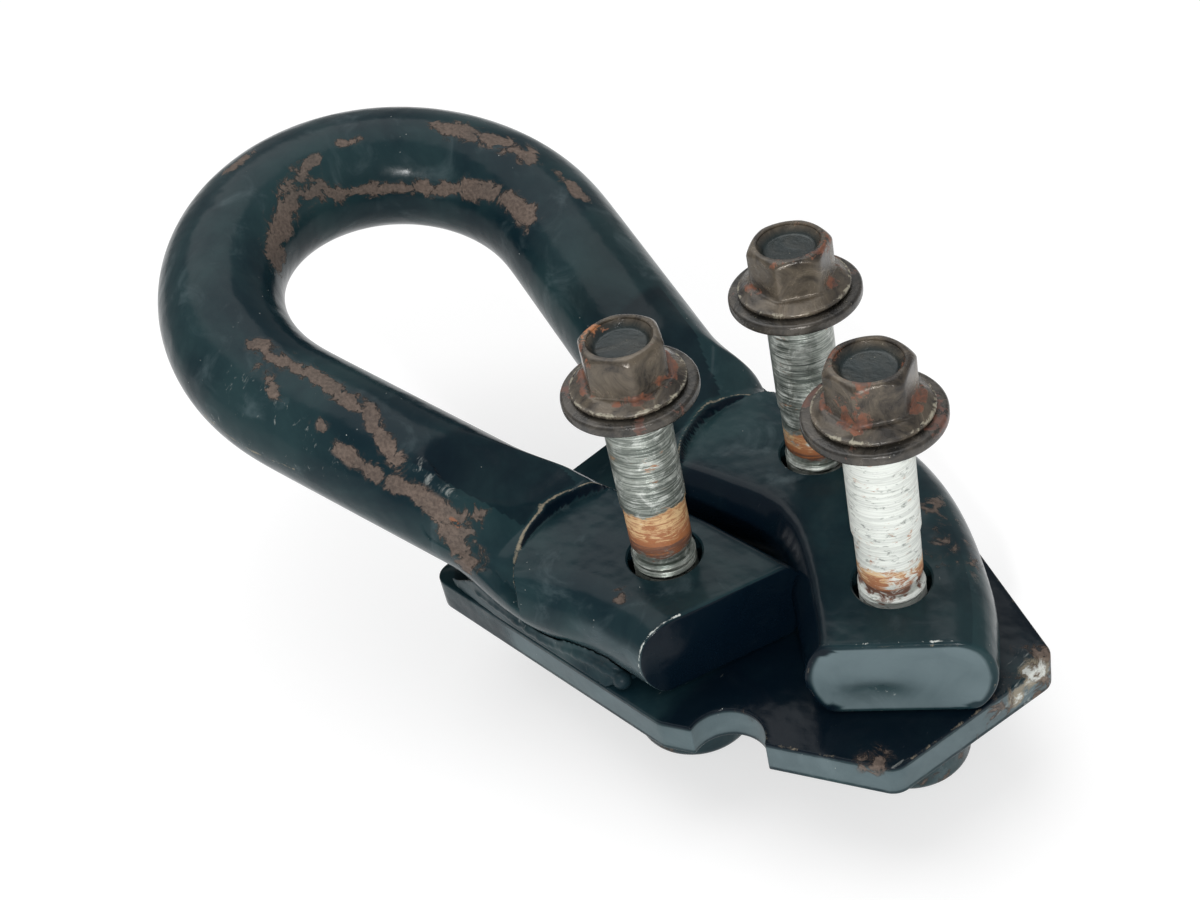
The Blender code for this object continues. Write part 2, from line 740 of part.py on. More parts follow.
def main():
    clear_scene()
    parts = make_collection("tow_hook")
    cutters = make_collection("cutters")
    datum = bpy.data.objects.new("hook_datum", None)
    datum.location = (-SEAT_X, -SEAT_Y, 0.0)
    parts.objects.link(datum)

    paint = make_material("teal_black_paint", (0.035, 0.055, 0.060), 0.45, 0.0)
    weld_paint = make_material("painted_weld", (0.045, 0.062, 0.066), 0.55, 0.0)
    zinc = make_material("worn_zinc", (0.42, 0.42, 0.38), 0.45, 0.6)
    dull_steel = make_material("dull_washer", (0.16, 0.17, 0.17), 0.5, 0.5)

    holes = [hole_tool(number, place, cutters, datum) for number, place in enumerate(BOLTS, 1)]
    make_tow_loop(parts, cutters, datum, holes, paint)
    make_base_plate(parts, cutters, datum, holes, paint)
    make_weld("weld_left", LEFT_WELD_FRONT_X, True, parts, datum, weld_paint)
    make_weld("weld_right", RIGHT_WELD_FRONT_X, False, parts, datum, weld_paint)
    for number, place in enumerate(BOLTS, 1):
        make_boss(number, place, parts, datum, paint)
        make_ring_weld(number, place, parts, datum, weld_paint)
        make_washer(number, place, parts, datum, dull_steel)
        make_bolt(number, place, BOLT_TURNS[number - 1], parts, cutters, datum, zinc)


if __name__ == "__main__":
    main()
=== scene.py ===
"""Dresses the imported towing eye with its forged, pressed, welded and weathered surfaces.

Sizes are in metres and angles in degrees. Shapes are laid out in the hook's own frame, which starts
at the corner point on the pads' top plane above the third bolt, and are then moved to the seat
point of the right pad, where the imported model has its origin.
"""

import enum
import logging
import math
from collections.abc import Callable
from dataclasses import dataclass

import bmesh
import bpy
import numpy as np
from mathutils import Matrix, Vector


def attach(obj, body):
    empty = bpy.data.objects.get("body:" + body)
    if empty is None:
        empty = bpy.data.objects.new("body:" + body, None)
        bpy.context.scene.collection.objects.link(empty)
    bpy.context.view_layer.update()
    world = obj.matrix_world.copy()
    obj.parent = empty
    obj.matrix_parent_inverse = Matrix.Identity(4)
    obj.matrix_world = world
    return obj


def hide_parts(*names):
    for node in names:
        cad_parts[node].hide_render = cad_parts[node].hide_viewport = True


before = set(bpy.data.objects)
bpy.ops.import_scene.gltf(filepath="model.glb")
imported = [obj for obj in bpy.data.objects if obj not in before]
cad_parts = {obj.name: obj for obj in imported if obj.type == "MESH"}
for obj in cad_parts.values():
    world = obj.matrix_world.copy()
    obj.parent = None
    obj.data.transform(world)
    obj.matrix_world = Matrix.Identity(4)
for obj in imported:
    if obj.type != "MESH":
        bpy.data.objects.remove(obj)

LOG = logging.getLogger("tow_hook")
SEAT = np.array((0.0203, -0.0171, 0.0))
HOOK = "hook"
CLEARANCE = 0.0003
BOSS_SEAT_Z = -0.0281
BOLT_PLACES = ((0.0441, 0.0155), (0.0397, -0.0287), (0.0, -0.0062))
BOLT_HOLE_RADIUS = 0.0081
Colour = tuple[float, float, float]
Place = tuple[float, float]


def srgb(red: int, green: int, blue: int) -> Colour:
    """The linear colour of an eight-bit screen colour.

    Args:
        red: Red from 0 to 255.
        green: Green from 0 to 255.
        blue: Blue from 0 to 255.

    Returns:
        The three linear channels.
    """
    channels = []
    for value in (red, green, blue):
        share = value / 255.0
        channels.append(share / 12.92 if share <= 0.04045 else ((share + 0.055) / 1.055) ** 2.4)
    return channels[0], channels[1], channels[2]


def smooth(value: np.ndarray | float) -> np.ndarray:
    """An S-shaped ramp that goes from 0 to 1 while its argument does."""
    held = np.clip(value, 0.0, 1.0)
    return held * held * (3.0 - 2.0 * held)


def bell(value: np.ndarray | float) -> np.ndarray:
    """1 where its argument is 0, and falling off smoothly round it."""
    return np.exp(-value ** 2)


def soft_min(first: np.ndarray, second: np.ndarray, radius: np.ndarray | float) -> np.ndarray:
    """The lower of two heights, with the crease between them rounded.

    Args:
        first: The first heights.
        second: The second heights.
        radius: How far apart the heights still touch the rounding.

    Returns:
        The rounded lower envelope.
    """
    near = np.maximum(radius - np.abs(first - second), 0.0) / radius
    return np.minimum(first, second) - near * near * radius / 4.0


def soft_max(first: np.ndarray, second: np.ndarray, radius: np.ndarray | float) -> np.ndarray:
    """The higher of two heights, with the crease between them rounded."""
    return -soft_min(-first, -second, radius)


def operation(kind: str, swapped: bool = False) -> Callable[["Value", "Value | float"], "Value"]:
    """A method of Value that adds one Math node.

    Args:
        kind: The node's operation.
        swapped: True puts the other value first.

    Returns:
        The method.
    """
    def method(self: "Value", other: "Value | float") -> "Value":
        """The operation's result for this value and another."""
        return self.net.maths(kind, other, self) if swapped else self.net.maths(kind, self, other)

    return method


class Value:
    """A shader socket that takes part in arithmetic."""

    def __init__(self, net: "Net", socket: bpy.types.NodeSocket) -> None:
        """Keeps the socket and the net that it belongs to."""
        self.net = net
        self.socket = socket

    __add__ = operation("ADD")
    __radd__ = operation("ADD", swapped=True)
    __sub__ = operation("SUBTRACT")
    __rsub__ = operation("SUBTRACT", swapped=True)
    __mul__ = operation("MULTIPLY")
    most = operation("MAXIMUM")
    least = operation("MINIMUM")

    def ramped(self, low: float, high: float) -> "Value":
        """This value's smooth passage from low to high, as 0 to 1.

        Args:
            low: Where the passage starts; it may be above high.
            high: Where the passage ends.

        Returns:
            The ramped value.
        """
        node = self.net.add(
            "ShaderNodeMapRange",
            {"interpolation_type": "SMOOTHSTEP"},
            {"Value": self, "From Min": low, "From Max": high},
        )
        return Value(self.net, node.outputs["Result"])


class Net:
    """One material's shader nodes, each made by a call."""

    def __init__(self, name: str) -> None:
        """Starts an empty material."""
        self.material = bpy.data.materials.new(name)
        self.material.use_nodes = True
        self.tree = self.material.node_tree
        self.tree.nodes.clear()
        self.place = self.add("ShaderNodeTexCoord").outputs["Object"]

    def add(self, kind: str, settings: dict | None = None, inputs: dict | None = None) -> bpy.types.Node:
        """Adds a node.

        Args:
            kind: The node's type.
            settings: Its properties by name.
            inputs: The values or links of its sockets, by name or number.

        Returns:
            The node.
        """
        node = self.tree.nodes.new(kind)
        for name, value in (settings or {}).items():
            setattr(node, name, value)
        for name, value in (inputs or {}).items():
            self.feed(node.inputs[name], value)
        return node

    def feed(self, socket: bpy.types.NodeSocket, value: object) -> None:
        """Links a value or a socket to an input, or sets a plain number or colour on it."""
        if isinstance(value, Value):
            self.tree.links.new(value.socket, socket)
        elif isinstance(value, bpy.types.NodeSocket):
            self.tree.links.new(value, socket)
        elif isinstance(value, tuple) and len(value) == 3 and socket.type == "RGBA":
            socket.default_value = (*value, 1.0)
        else:
            socket.default_value = value

    def maths(self, kind: str, first: "Value | float", second: "Value | float") -> Value:
        """The result of one Math node."""
        node = self.add("ShaderNodeMath", {"operation": kind}, {0: first, 1: second})
        return Value(self, node.outputs[0])

    def mix(self, share: Value | float, first: object, second: object) -> bpy.types.NodeSocket:
        """A colour between two others.

        Args:
            share: How much of the second shows.
            first: The first colour or socket.
            second: The second colour or socket.

        Returns:
            The mixed colour's socket.
        """
        node = self.add("ShaderNodeMix", {"data_type": "RGBA"}, {0: share, 6: first, 7: second})
        return node.outputs[2]

    def stretched(self, scale: Colour, turn: Colour = (0.0, 0.0, 0.0)) -> bpy.types.NodeSocket:
        """The object's own coordinates, turned and then stretched."""
        inputs = {"Vector": self.place, "Rotation": turn, "Scale": scale}
        return self.add("ShaderNodeMapping", {"vector_type": "POINT"}, inputs).outputs["Vector"]

    def noise(self, scale: float, detail: float = 3.0, rough: float = 0.5, warp: float = 0.0,
              where: bpy.types.NodeSocket | None = None) -> Value:
        """Cloudy noise about 0.5.

        Args:
            scale: Clouds to the metre.
            detail: Octaves.
            rough: How strong the finer octaves are.
            warp: How much the noise distorts itself.
            where: Coordinates in place of the object's own.

        Returns:
            The noise.
        """
        inputs = {"Vector": where or self.place, "Scale": scale, "Detail": detail,
                  "Roughness": rough, "Distortion": warp}
        return Value(self, self.add("ShaderNodeTexNoise", None, inputs).outputs["Fac"])

    def specks(self, scale: float, size: float, patches: Value) -> Value:
        """Small round specks, which stand only where a patchy value is high.

        Args:
            scale: Specks to the metre.
            size: Radius at which a speck ends, as a share of the specks' spacing.
            patches: Where specks stand.

        Returns:
            1 in a speck and 0 between them.
        """
        node = self.add("ShaderNodeTexVoronoi", None, {"Vector": self.place, "Scale": scale})
        return Value(self, node.outputs["Distance"]).ramped(size, size / 2) * patches

    def attribute(self, name: str) -> Value:
        """A value painted on the mesh's points."""
        node = self.add("ShaderNodeAttribute", {"attribute_name": name})
        return Value(self, node.outputs["Fac"])

    def mask(self, name: str, unevenness: Value, low: float, high: float) -> Value:
        """A painted value with an uneven edge.

        Args:
            name: The attribute that holds the value.
            unevenness: What is added to the value before it is cut.
            low: Where the mask starts.
            high: Where the mask is full.

        Returns:
            The mask, from 0 to 1.
        """
        return (self.attribute(name) + unevenness).ramped(low, high)

    def bump(self, height: Value, distance: float, strength: float,
             below: bpy.types.NodeSocket | None = None) -> bpy.types.NodeSocket:
        """A bumped normal.

        Args:
            height: The height field.
            distance: What a height of 1 stands for.
            strength: How much of it shows.
            below: A normal to build on.

        Returns:
            The normal's socket.
        """
        inputs = {"Strength": strength, "Distance": distance, "Height": height}
        if below is not None:
            inputs["Normal"] = below
        return self.add("ShaderNodeBump", None, inputs).outputs["Normal"]

    def finish(self, inputs: dict) -> bpy.types.Material:
        """Ends the material in a Principled shader with the given inputs."""
        shader = self.add("ShaderNodeBsdfPrincipled", None, inputs)
        self.add("ShaderNodeOutputMaterial", None, {"Surface": shader.outputs["BSDF"]})
        return self.material


@dataclass(frozen=True)
class PaintFinish:
    """Worn dip paint on forged steel: deep teal black, rubbed grey, scuffed and rusted, with painted light,
    painted shade and painted glints laid on by masks.
    """

    name: str = "teal_black_paint"
    deep: Colour = srgb(15, 34, 41)
    worn: Colour = srgb(37, 58, 61)
    # Lighter grey of rubbed paint, also used as painted light on faces turned to the lamps.
    dull: Colour = srgb(96, 111, 115)
    # Near-black of painted shade in steps, recesses, between the pads and under the pads' ends.
    oil: Colour = srgb(4, 14, 25)
    rust_dark: Colour = srgb(86, 74, 67)
    rust_light: Colour = srgb(122, 107, 97)
    rust_orange: Colour = srgb(158, 104, 76)
    dirt: Colour = srgb(140, 130, 112)
    # Pale steel of scuffs, specks and exposed metal, also used for painted glints on edges.
    bare: Colour = srgb(206, 210, 205)
    gloss: float = 0.13
    ripple: float = 0.5
    specular: float = 0.12

    def build(self) -> bpy.types.Material:
        """Makes the material.

        Returns:
            The material, which reads the point attributes that wear() stores.
        """
        net = Net(self.name)
        cloud = net.noise(34.0, 5.0, 0.58, 0.5)
        drift = net.noise(85.0, 6.0, 0.6, 0.8)
        streak = net.noise(1.0, 7.0, 0.66, 0.9, net.stretched((760.0, 150.0, 420.0), (0.3, 0.5, 0.8)))
        grain = net.noise(1300.0, 5.0, 0.62)
        flake = net.noise(230.0, 10.0, 0.74, 1.0)
        ragged = (flake - 0.5) * 3.2 + (net.noise(120.0, 4.0, 0.55, 0.8) - 0.5) * 2.6
        near = net.attribute("rust").ramped(0.02, 0.24)
        rust = net.mask("rust", ragged, 0.46, 0.60) * near
        stain = net.mask("rust", ragged, 0.18, 0.56) * near
        scuff = net.mask("scuff", (streak - 0.5) * 2.4, 0.62, 0.92)
        grime = net.mask("grime", (flake - 0.5) * 1.4, 0.50, 0.74)
        orange = net.mask("orange", (flake - 0.5) * 0.8, 0.55, 0.75)
        # Mask of rubbed paint and of painted light.
        dull = net.mask("dull", (drift - 0.5) * 0.5, 0.20, 1.00)
        # Mask of painted shade.
        oil = net.mask("oil", (drift - 0.5) * 0.5, 0.20, 0.90)
        # Mask of exposed metal and of painted glints.
        bare = net.mask("bare", (flake - 0.5) * 1.6, 0.52, 0.66)
        specks = net.specks(520.0, 0.070, net.noise(75.0, 2.0).ramped(0.60, 0.66))

        body = net.mix(cloud.ramped(0.32, 0.72), self.deep, self.worn)
        body = net.mix(drift.ramped(0.52, 0.80) * 0.35, body, self.dull)
        # Painted light and rubbed paint lighten the body.
        body = net.mix(dull, body, self.dull)
        # Painted shade darkens the body.
        body = net.mix(oil * 0.92, body, self.oil)
        rusted = net.mix(grain.ramped(0.25, 0.75), self.rust_dark, self.rust_light)
        rusted = net.mix(flake.ramped(0.56, 0.70) * 0.5, rusted, self.rust_dark)
        rusted = net.mix(orange, rusted, self.rust_orange)
        colour = net.mix(scuff * 0.30, body, self.bare)
        colour = net.mix(stain * 0.30, colour, self.rust_dark)
        colour = net.mix(grime * 0.85, colour, self.dirt)
        colour = net.mix(rust * (0.22 + drift * 1.1).least(0.92), colour, rusted)
        # Specks, exposed metal and painted glints.
        colour = net.mix((specks * 0.75).most(bare * 0.85), colour, self.bare)

        rough = self.gloss + cloud * 0.08 + drift * 0.08 + dull * 0.22 + rust * 0.40 + grime * 0.30
        peel = net.bump(net.noise(260.0, 3.0, 0.5), 0.0004, self.ripple * 0.4)
        forged = net.bump(net.noise(48.0, 3.0, 0.5), 0.0026, self.ripple * 0.80, peel)
        pits = net.bump(grain * rust * 0.5 - rust, 0.0004, 0.8, forged)
        return net.finish({
            "Base Color": colour, "Roughness": rough, "Normal": pits, "Specular IOR Level": self.specular,
        })


@dataclass(frozen=True)
class HeadFinish:
    """The brown-black coat of the bolt heads: oily, rubbed, spotted with pale specks and rusting."""

    name: str = "brown_phosphate"
    dark: Colour = srgb(38, 34, 30)
    light: Colour = srgb(104, 94, 80)
    rust_dark: Colour = srgb(62, 36, 26)
    rust_light: Colour = srgb(126, 74, 48)
    rust_orange: Colour = srgb(186, 122, 78)
    teal: Colour = srgb(24, 38, 40)
    dirt: Colour = srgb(172, 166, 146)
    metal: float = 0.30
    specular: float = 0.60

    def build(self) -> bpy.types.Material:
        """Makes the material, which reads the point attributes rust, grime, teal and orange."""
        net = Net(self.name)
        cloud = net.noise(130.0, 7.0, 0.68, 0.9)
        patch = net.noise(95.0, 3.0, 0.5, 0.6)
        ragged = net.noise(560.0, 8.0, 0.7, 0.8)
        rust = net.mask("rust", (ragged - 0.5) * 1.0 + (patch - 0.5) * 2.4, 0.52, 0.66)
        grime = net.mask("grime", (ragged - 0.5) * 1.6 + (patch - 0.5) * 0.8, 0.52, 0.74)
        specks = net.specks(760.0, 0.10, net.noise(120.0, 2.0).ramped(0.54, 0.62))
        body = net.mix(cloud.ramped(0.34, 0.68), self.dark, self.light)
        body = net.mix(net.attribute("teal") * (1.2 - cloud * 0.6), body, self.teal)
        rusted = net.mix(ragged.ramped(0.36, 0.64), self.rust_dark, self.rust_light)
        rusted = net.mix(net.attribute("orange"), rusted, self.rust_orange)
        colour = net.mix(grime * 0.75, body, self.dirt)
        colour = net.mix(rust * 0.88, colour, rusted)
        colour = net.mix(specks * 0.8, colour, self.dirt)
        rough = 0.14 + cloud * 0.22 + rust * 0.22 + grime * 0.22
        surface = net.bump(ragged, 0.0003, 0.35, net.bump(cloud, 0.0007, 0.35))
        return net.finish({
            "Base Color": colour, "Roughness": rough, "Metallic": (1.0 - rust.most(grime)) * self.metal,
            "Normal": surface, "Specular IOR Level": self.specular,
        })


@dataclass(frozen=True)
class ZincFinish:
    """The white-bloomed zinc of the shanks and threads, stained with rust where water stood, with painted
    shade in the thread's valleys.
    """

    name: str = "bloomed_zinc"
    light: Colour = srgb(232, 236, 230)
    mid: Colour = srgb(172, 178, 170)
    dark: Colour = srgb(94, 102, 96)
    rust_dark: Colour = srgb(92, 50, 28)
    rust_mid: Colour = srgb(158, 96, 52)
    rust_light: Colour = srgb(216, 182, 134)
    metal: float = 0.7

    def build(self) -> bpy.types.Material:
        """Makes the material, which reads the point attributes rust, deep, bloom and root."""
        net = Net(self.name)
        rings = net.noise(1.0, 6.0, 0.66, 0.35, net.stretched((95.0, 95.0, 2700.0)))
        broad = net.noise(1.0, 4.0, 0.6, 0.4, net.stretched((70.0, 70.0, 420.0)))
        blotch = net.noise(260.0, 7.0, 0.7, 0.9)
        ragged = net.noise(1.0, 8.0, 0.7, 0.9, net.stretched((300.0, 300.0, 820.0)))
        bloom = net.mask("bloom", (blotch - 0.5) * 1.3 + (rings - 0.5) * 0.7, 0.34, 0.80)
        uneven = (ragged - 0.5) * 1.9 + (net.noise(190.0, 3.0, 0.5, 0.5) - 0.5) * 1.6
        rust = net.mask("rust", uneven, 0.34, 0.62)
        flecks = net.noise(1.0, 7.0, 0.72, 0.6, net.stretched((420.0, 420.0, 900.0))).ramped(0.55, 0.64)
        metal = net.mix((rings * 0.65 + broad * 0.35).ramped(0.38, 0.60), self.dark, self.mid)
        colour = net.mix(bloom * 0.9, metal, self.light)
        colour = net.mix(rings.ramped(0.56, 0.44) * 0.22 + flecks * 0.55, colour, self.dark)
        # Painted shade in the thread's valleys.
        colour = net.mix(net.attribute("root") * 0.45, colour, self.dark)
        reddish = ragged * 0.6 + rings * 0.4 + net.attribute("deep") * 0.28
        stain = net.mix(reddish.ramped(0.44, 0.58), self.rust_light, self.rust_mid)
        stain = net.mix(net.mask("deep", (rings - 0.5) * 3.0, 0.45, 0.85), stain, self.rust_dark)
        colour = net.mix(rust * 0.94, colour, stain)
        rough = 0.30 + bloom * 0.24 + rust * 0.25
        surface = net.bump(rings, 0.0004, 0.55, net.bump(blotch, 0.0005, 0.25))
        return net.finish({
            "Base Color": colour, "Roughness": rough, "Normal": surface,
            "Metallic": (1.0 - bloom.most(rust)) * self.metal,
        })


@dataclass(frozen=True)
class FloorFinish:
    """The plain white sweep that the hook stands on."""

    name: str = "studio_floor"
    colour: Colour = (0.93, 0.93, 0.93)
    lift: float = 1.22
    lifted: float = 0.45

    def build(self) -> bpy.types.Material:
        """Makes the material, which lifts what the camera sees towards white."""
        net = Net(self.name)
        path = net.add("ShaderNodeLightPath")
        seen = Value(net, path.outputs["Is Camera Ray"])
        for ray in ("Is Glossy Ray", "Is Transmission Ray"):
            seen = seen.most(Value(net, path.outputs[ray]))
        plain = net.add("ShaderNodeBsdfDiffuse", None, {"Color": self.colour})
        bright = net.add("ShaderNodeEmission", None, {"Color": (1.0, 1.0, 1.0), "Strength": self.lift})
        both = net.add("ShaderNodeMixShader", None, {
            0: seen * self.lifted, 1: plain.outputs[0], 2: bright.outputs[0],
        })
        net.add("ShaderNodeOutputMaterial", None, {"Surface": both.outputs[0]})
        return net.material


class Finishes:
    """The hook's finishes, each made once."""

    def __init__(self) -> None:
        """Builds every material."""
        self.paint = PaintFinish().build()
        self.weld = PaintFinish(name="painted_weld", gloss=0.30, ripple=0.9).build()
        self.head = HeadFinish().build()
        self.washer = HeadFinish(
            name="dull_washer", dark=srgb(27, 27, 26), light=srgb(82, 77, 70), rust_light=srgb(104, 66, 52)
        ).build()
        self.zinc = ZincFinish().build()
        self.floor = FloorFinish().build()


class Slot(enum.Enum):
    """Names of material slots."""

    PAINT = "paint"
    WELD = "painted_weld"
    WASHER = "washer_steel"
    ZINC = "bolt_zinc"


def linked(name: str, data: bpy.types.ID) -> bpy.types.Object:
    """A new object in the scene."""
    made = bpy.data.objects.new(name, data)
    bpy.context.scene.collection.objects.link(made)
    return made


def tidied(mesh: bpy.types.Mesh, merge: float = 0.000002) -> bpy.types.Mesh:
    """Merges a mesh's doubles and turns its faces outwards."""
    shape = bmesh.new()
    shape.from_mesh(mesh)
    bmesh.ops.remove_doubles(shape, verts=shape.verts, dist=merge)
    bmesh.ops.recalc_face_normals(shape, faces=shape.faces)
    shape.to_mesh(mesh)
    shape.free()
    return mesh


def mesh_from_rows(name: str, rows: np.ndarray, closed: bool = False) -> bpy.types.Mesh:
    """Skins rings of points, given in the layout frame, into a closed mesh in the world.

    Args:
        name: The mesh's name.
        rows: Points by ring and by place round the ring.
        closed: True joins the last ring to the first; False caps both ends.

    Returns:
        The mesh, with its faces turned outwards.
    """
    count, ring = rows.shape[:2]
    index = np.arange(count * ring).reshape(count, ring)
    first = index if closed else index[:-1]
    second = np.roll(index, -1, axis=0) if closed else index[1:]
    quads = np.stack((first, np.roll(first, -1, axis=1), np.roll(second, -1, axis=1), second), axis=-1)
    faces = quads.reshape(-1, 4).tolist()
    if not closed:
        faces += [index[0][::-1].tolist(), index[-1].tolist()]
    mesh = bpy.data.meshes.new(name)
    mesh.from_pydata((rows.reshape(-1, 3) - SEAT).tolist(), [], faces)
    return tidied(mesh)


def points_of(mesh: bpy.types.Mesh) -> np.ndarray:
    """A mesh's points in the layout frame."""
    flat = np.empty(len(mesh.vertices) * 3)
    mesh.vertices.foreach_get("co", flat)
    return flat.reshape(-1, 3) + SEAT


def move_points(mesh: bpy.types.Mesh, points: np.ndarray) -> None:
    """Gives a mesh new points, in the layout frame."""
    mesh.vertices.foreach_set("co", (points - SEAT).ravel())
    mesh.update()


def paint(mesh: bpy.types.Mesh, **masks: np.ndarray | float) -> None:
    """Stores attributes that the shaders read, each with a value for every point or one for all."""
    for name, values in masks.items():
        layer = mesh.attributes.new(name, "FLOAT", "POINT")
        spread = np.broadcast_to(values, len(mesh.vertices))
        layer.data.foreach_set("value", np.ascontiguousarray(spread, dtype=np.float32))


def wear(mesh: bpy.types.Mesh, **masks: np.ndarray | float) -> None:
    """Stores the wear, painted light, painted shade and painted glints that the paint reads; a mask that
    isn't given is nought.
    """
    paint(mesh, **{"rust": 0.0, "orange": 0.0, "scuff": 0.0, "grime": 0.0, "dull": 0.0, "oil": 0.0,
                   "bare": 0.0, **masks})


def patches(points: np.ndarray, spots: tuple[tuple[float, float, float, float], ...],
            strength: float) -> np.ndarray:
    """How strongly points lie in round patches.

    Args:
        points: Points in the layout frame.
        spots: Each patch's middle and its radius.
        strength: The strength in the middle.

    Returns:
        The strength at each point.
    """
    mask = np.zeros(len(points))
    for x, y, z, radius in spots:
        gap = np.linalg.norm(points - np.array((x, y, z)), axis=1)
        mask = np.maximum(mask, strength * bell(gap / radius))
    return mask


def applied(name: str, mesh: bpy.types.Mesh, modifiers: list[tuple[str, dict]]) -> bpy.types.Mesh:
    """The mesh that a chain of modifiers makes of another.

    Args:
        name: The new mesh's name.
        mesh: The mesh to start from.
        modifiers: Each modifier's type and its settings.

    Returns:
        The plain mesh, without modifiers or materials.
    """
    holder = linked(name, mesh)
    for kind, settings in modifiers:
        modifier = holder.modifiers.new(kind.lower(), kind)
        for key, value in settings.items():
            setattr(modifier, key, value)
    graph = bpy.context.evaluated_depsgraph_get()
    made = bpy.data.meshes.new_from_object(holder.evaluated_get(graph))
    made.name = name
    made.materials.clear()
    bpy.data.objects.remove(holder, do_unlink=True)
    return made


def turned_rows(place: Place, level: float, profile: list[Place], steps: int = 96) -> np.ndarray:
    """Rings of a turned piece.

    Args:
        place: The piece's axis.
        level: The height that the profile counts from.
        profile: Radius and height of each ring.
        steps: Points to a ring.

    Returns:
        The rings.
    """
    angle = np.linspace(0.0, 2 * np.pi, steps + 1)[:-1]
    return np.array([
        np.stack((place[0] + radius * np.cos(angle), place[1] + radius * np.sin(angle),
                  np.full_like(angle, level + height)), axis=-1)
        for radius, height in profile
    ])


def rounded_corner(centre: Place, radius: float, start: float, end: float, steps: int = 6) -> list[Place]:
    """Points of an arc in a turned profile, from one angle to another in degrees."""
    points = []
    for step in range(steps + 1):
        angle = math.radians(start + (end - start) * step / steps)
        points.append((centre[0] + radius * math.cos(angle), centre[1] + radius * math.sin(angle)))
    return points


def cut(name: str, mesh: bpy.types.Mesh, tools: list[np.ndarray],
        finish: list[tuple[str, dict]]) -> bpy.types.Mesh:
    """Cuts holes into a solid.

    Args:
        name: The result's name.
        mesh: The solid.
        tools: Each cutting tool's rings.
        finish: Modifiers that follow the cuts.

    Returns:
        The cut mesh.
    """
    cutters = [linked("cutter", mesh_from_rows("cutter", rows)) for rows in tools]
    steps = [("BOOLEAN", {"operation": "DIFFERENCE", "solver": "EXACT", "object": tool}) for tool in cutters]
    made = applied(name, mesh, steps + finish)
    for tool in cutters:
        bpy.data.objects.remove(tool, do_unlink=True)
    return made


def divided(mesh: bpy.types.Mesh, longest: float, rounds: int = 6) -> bpy.types.Mesh:
    """Splits every edge longer than a length, so that painted points follow a flat face."""
    shape = bmesh.new()
    shape.from_mesh(mesh)
    for _ in range(rounds):
        long_edges = [edge for edge in shape.edges if edge.calc_length() > longest]
        if not long_edges:
            break
        bmesh.ops.subdivide_edges(shape, edges=long_edges, cuts=1, use_grid_fill=False)
        bmesh.ops.triangulate(shape, faces=[face for face in shape.faces if len(face.verts) > 3])
    shape.to_mesh(mesh)
    shape.free()
    return mesh


def fused(name: str, meshes: list[bpy.types.Mesh], voxel: float) -> bpy.types.Mesh:
    """Melts several closed meshes into one skin.

    Args:
        name: The result's name.
        meshes: The closed meshes, which overlap.
        voxel: How fine the skin is.

    Returns:
        The skin, without its materials.
    """
    shape = bmesh.new()
    for mesh in meshes:
        shape.from_mesh(mesh)
    joined = bpy.data.meshes.new(name)
    shape.to_mesh(joined)
    shape.free()
    return applied(name, joined, [
        ("REMESH", {"mode": "VOXEL", "voxel_size": voxel, "use_smooth_shade": True}),
        ("SMOOTH", {"factor": 0.5, "iterations": 3}),
    ])


def add_piece(name: str, mesh: bpy.types.Mesh, material: bpy.types.Material, body: str, node: str | None,
              sharp: float = 40.0) -> None:
    """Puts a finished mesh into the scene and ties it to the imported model.

    Args:
        name: The piece's name.
        mesh: Its mesh, in the world.
        material: Its finish, unless the mesh has its own.
        body: The body that it rides on.
        node: The CAD node that it stands for, if any.
        sharp: Edges that bend more than this many degrees stay sharp.
    """
    piece = linked(name, mesh)
    if not mesh.materials:
        mesh.materials.append(material)
    mesh.shade_smooth()
    mesh.set_sharp_from_angle(angle=math.radians(sharp))
    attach(piece, body)
    if node:
        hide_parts(node)
    LOG.info("%s: %d faces, rides on %s", name, len(mesh.polygons), body)


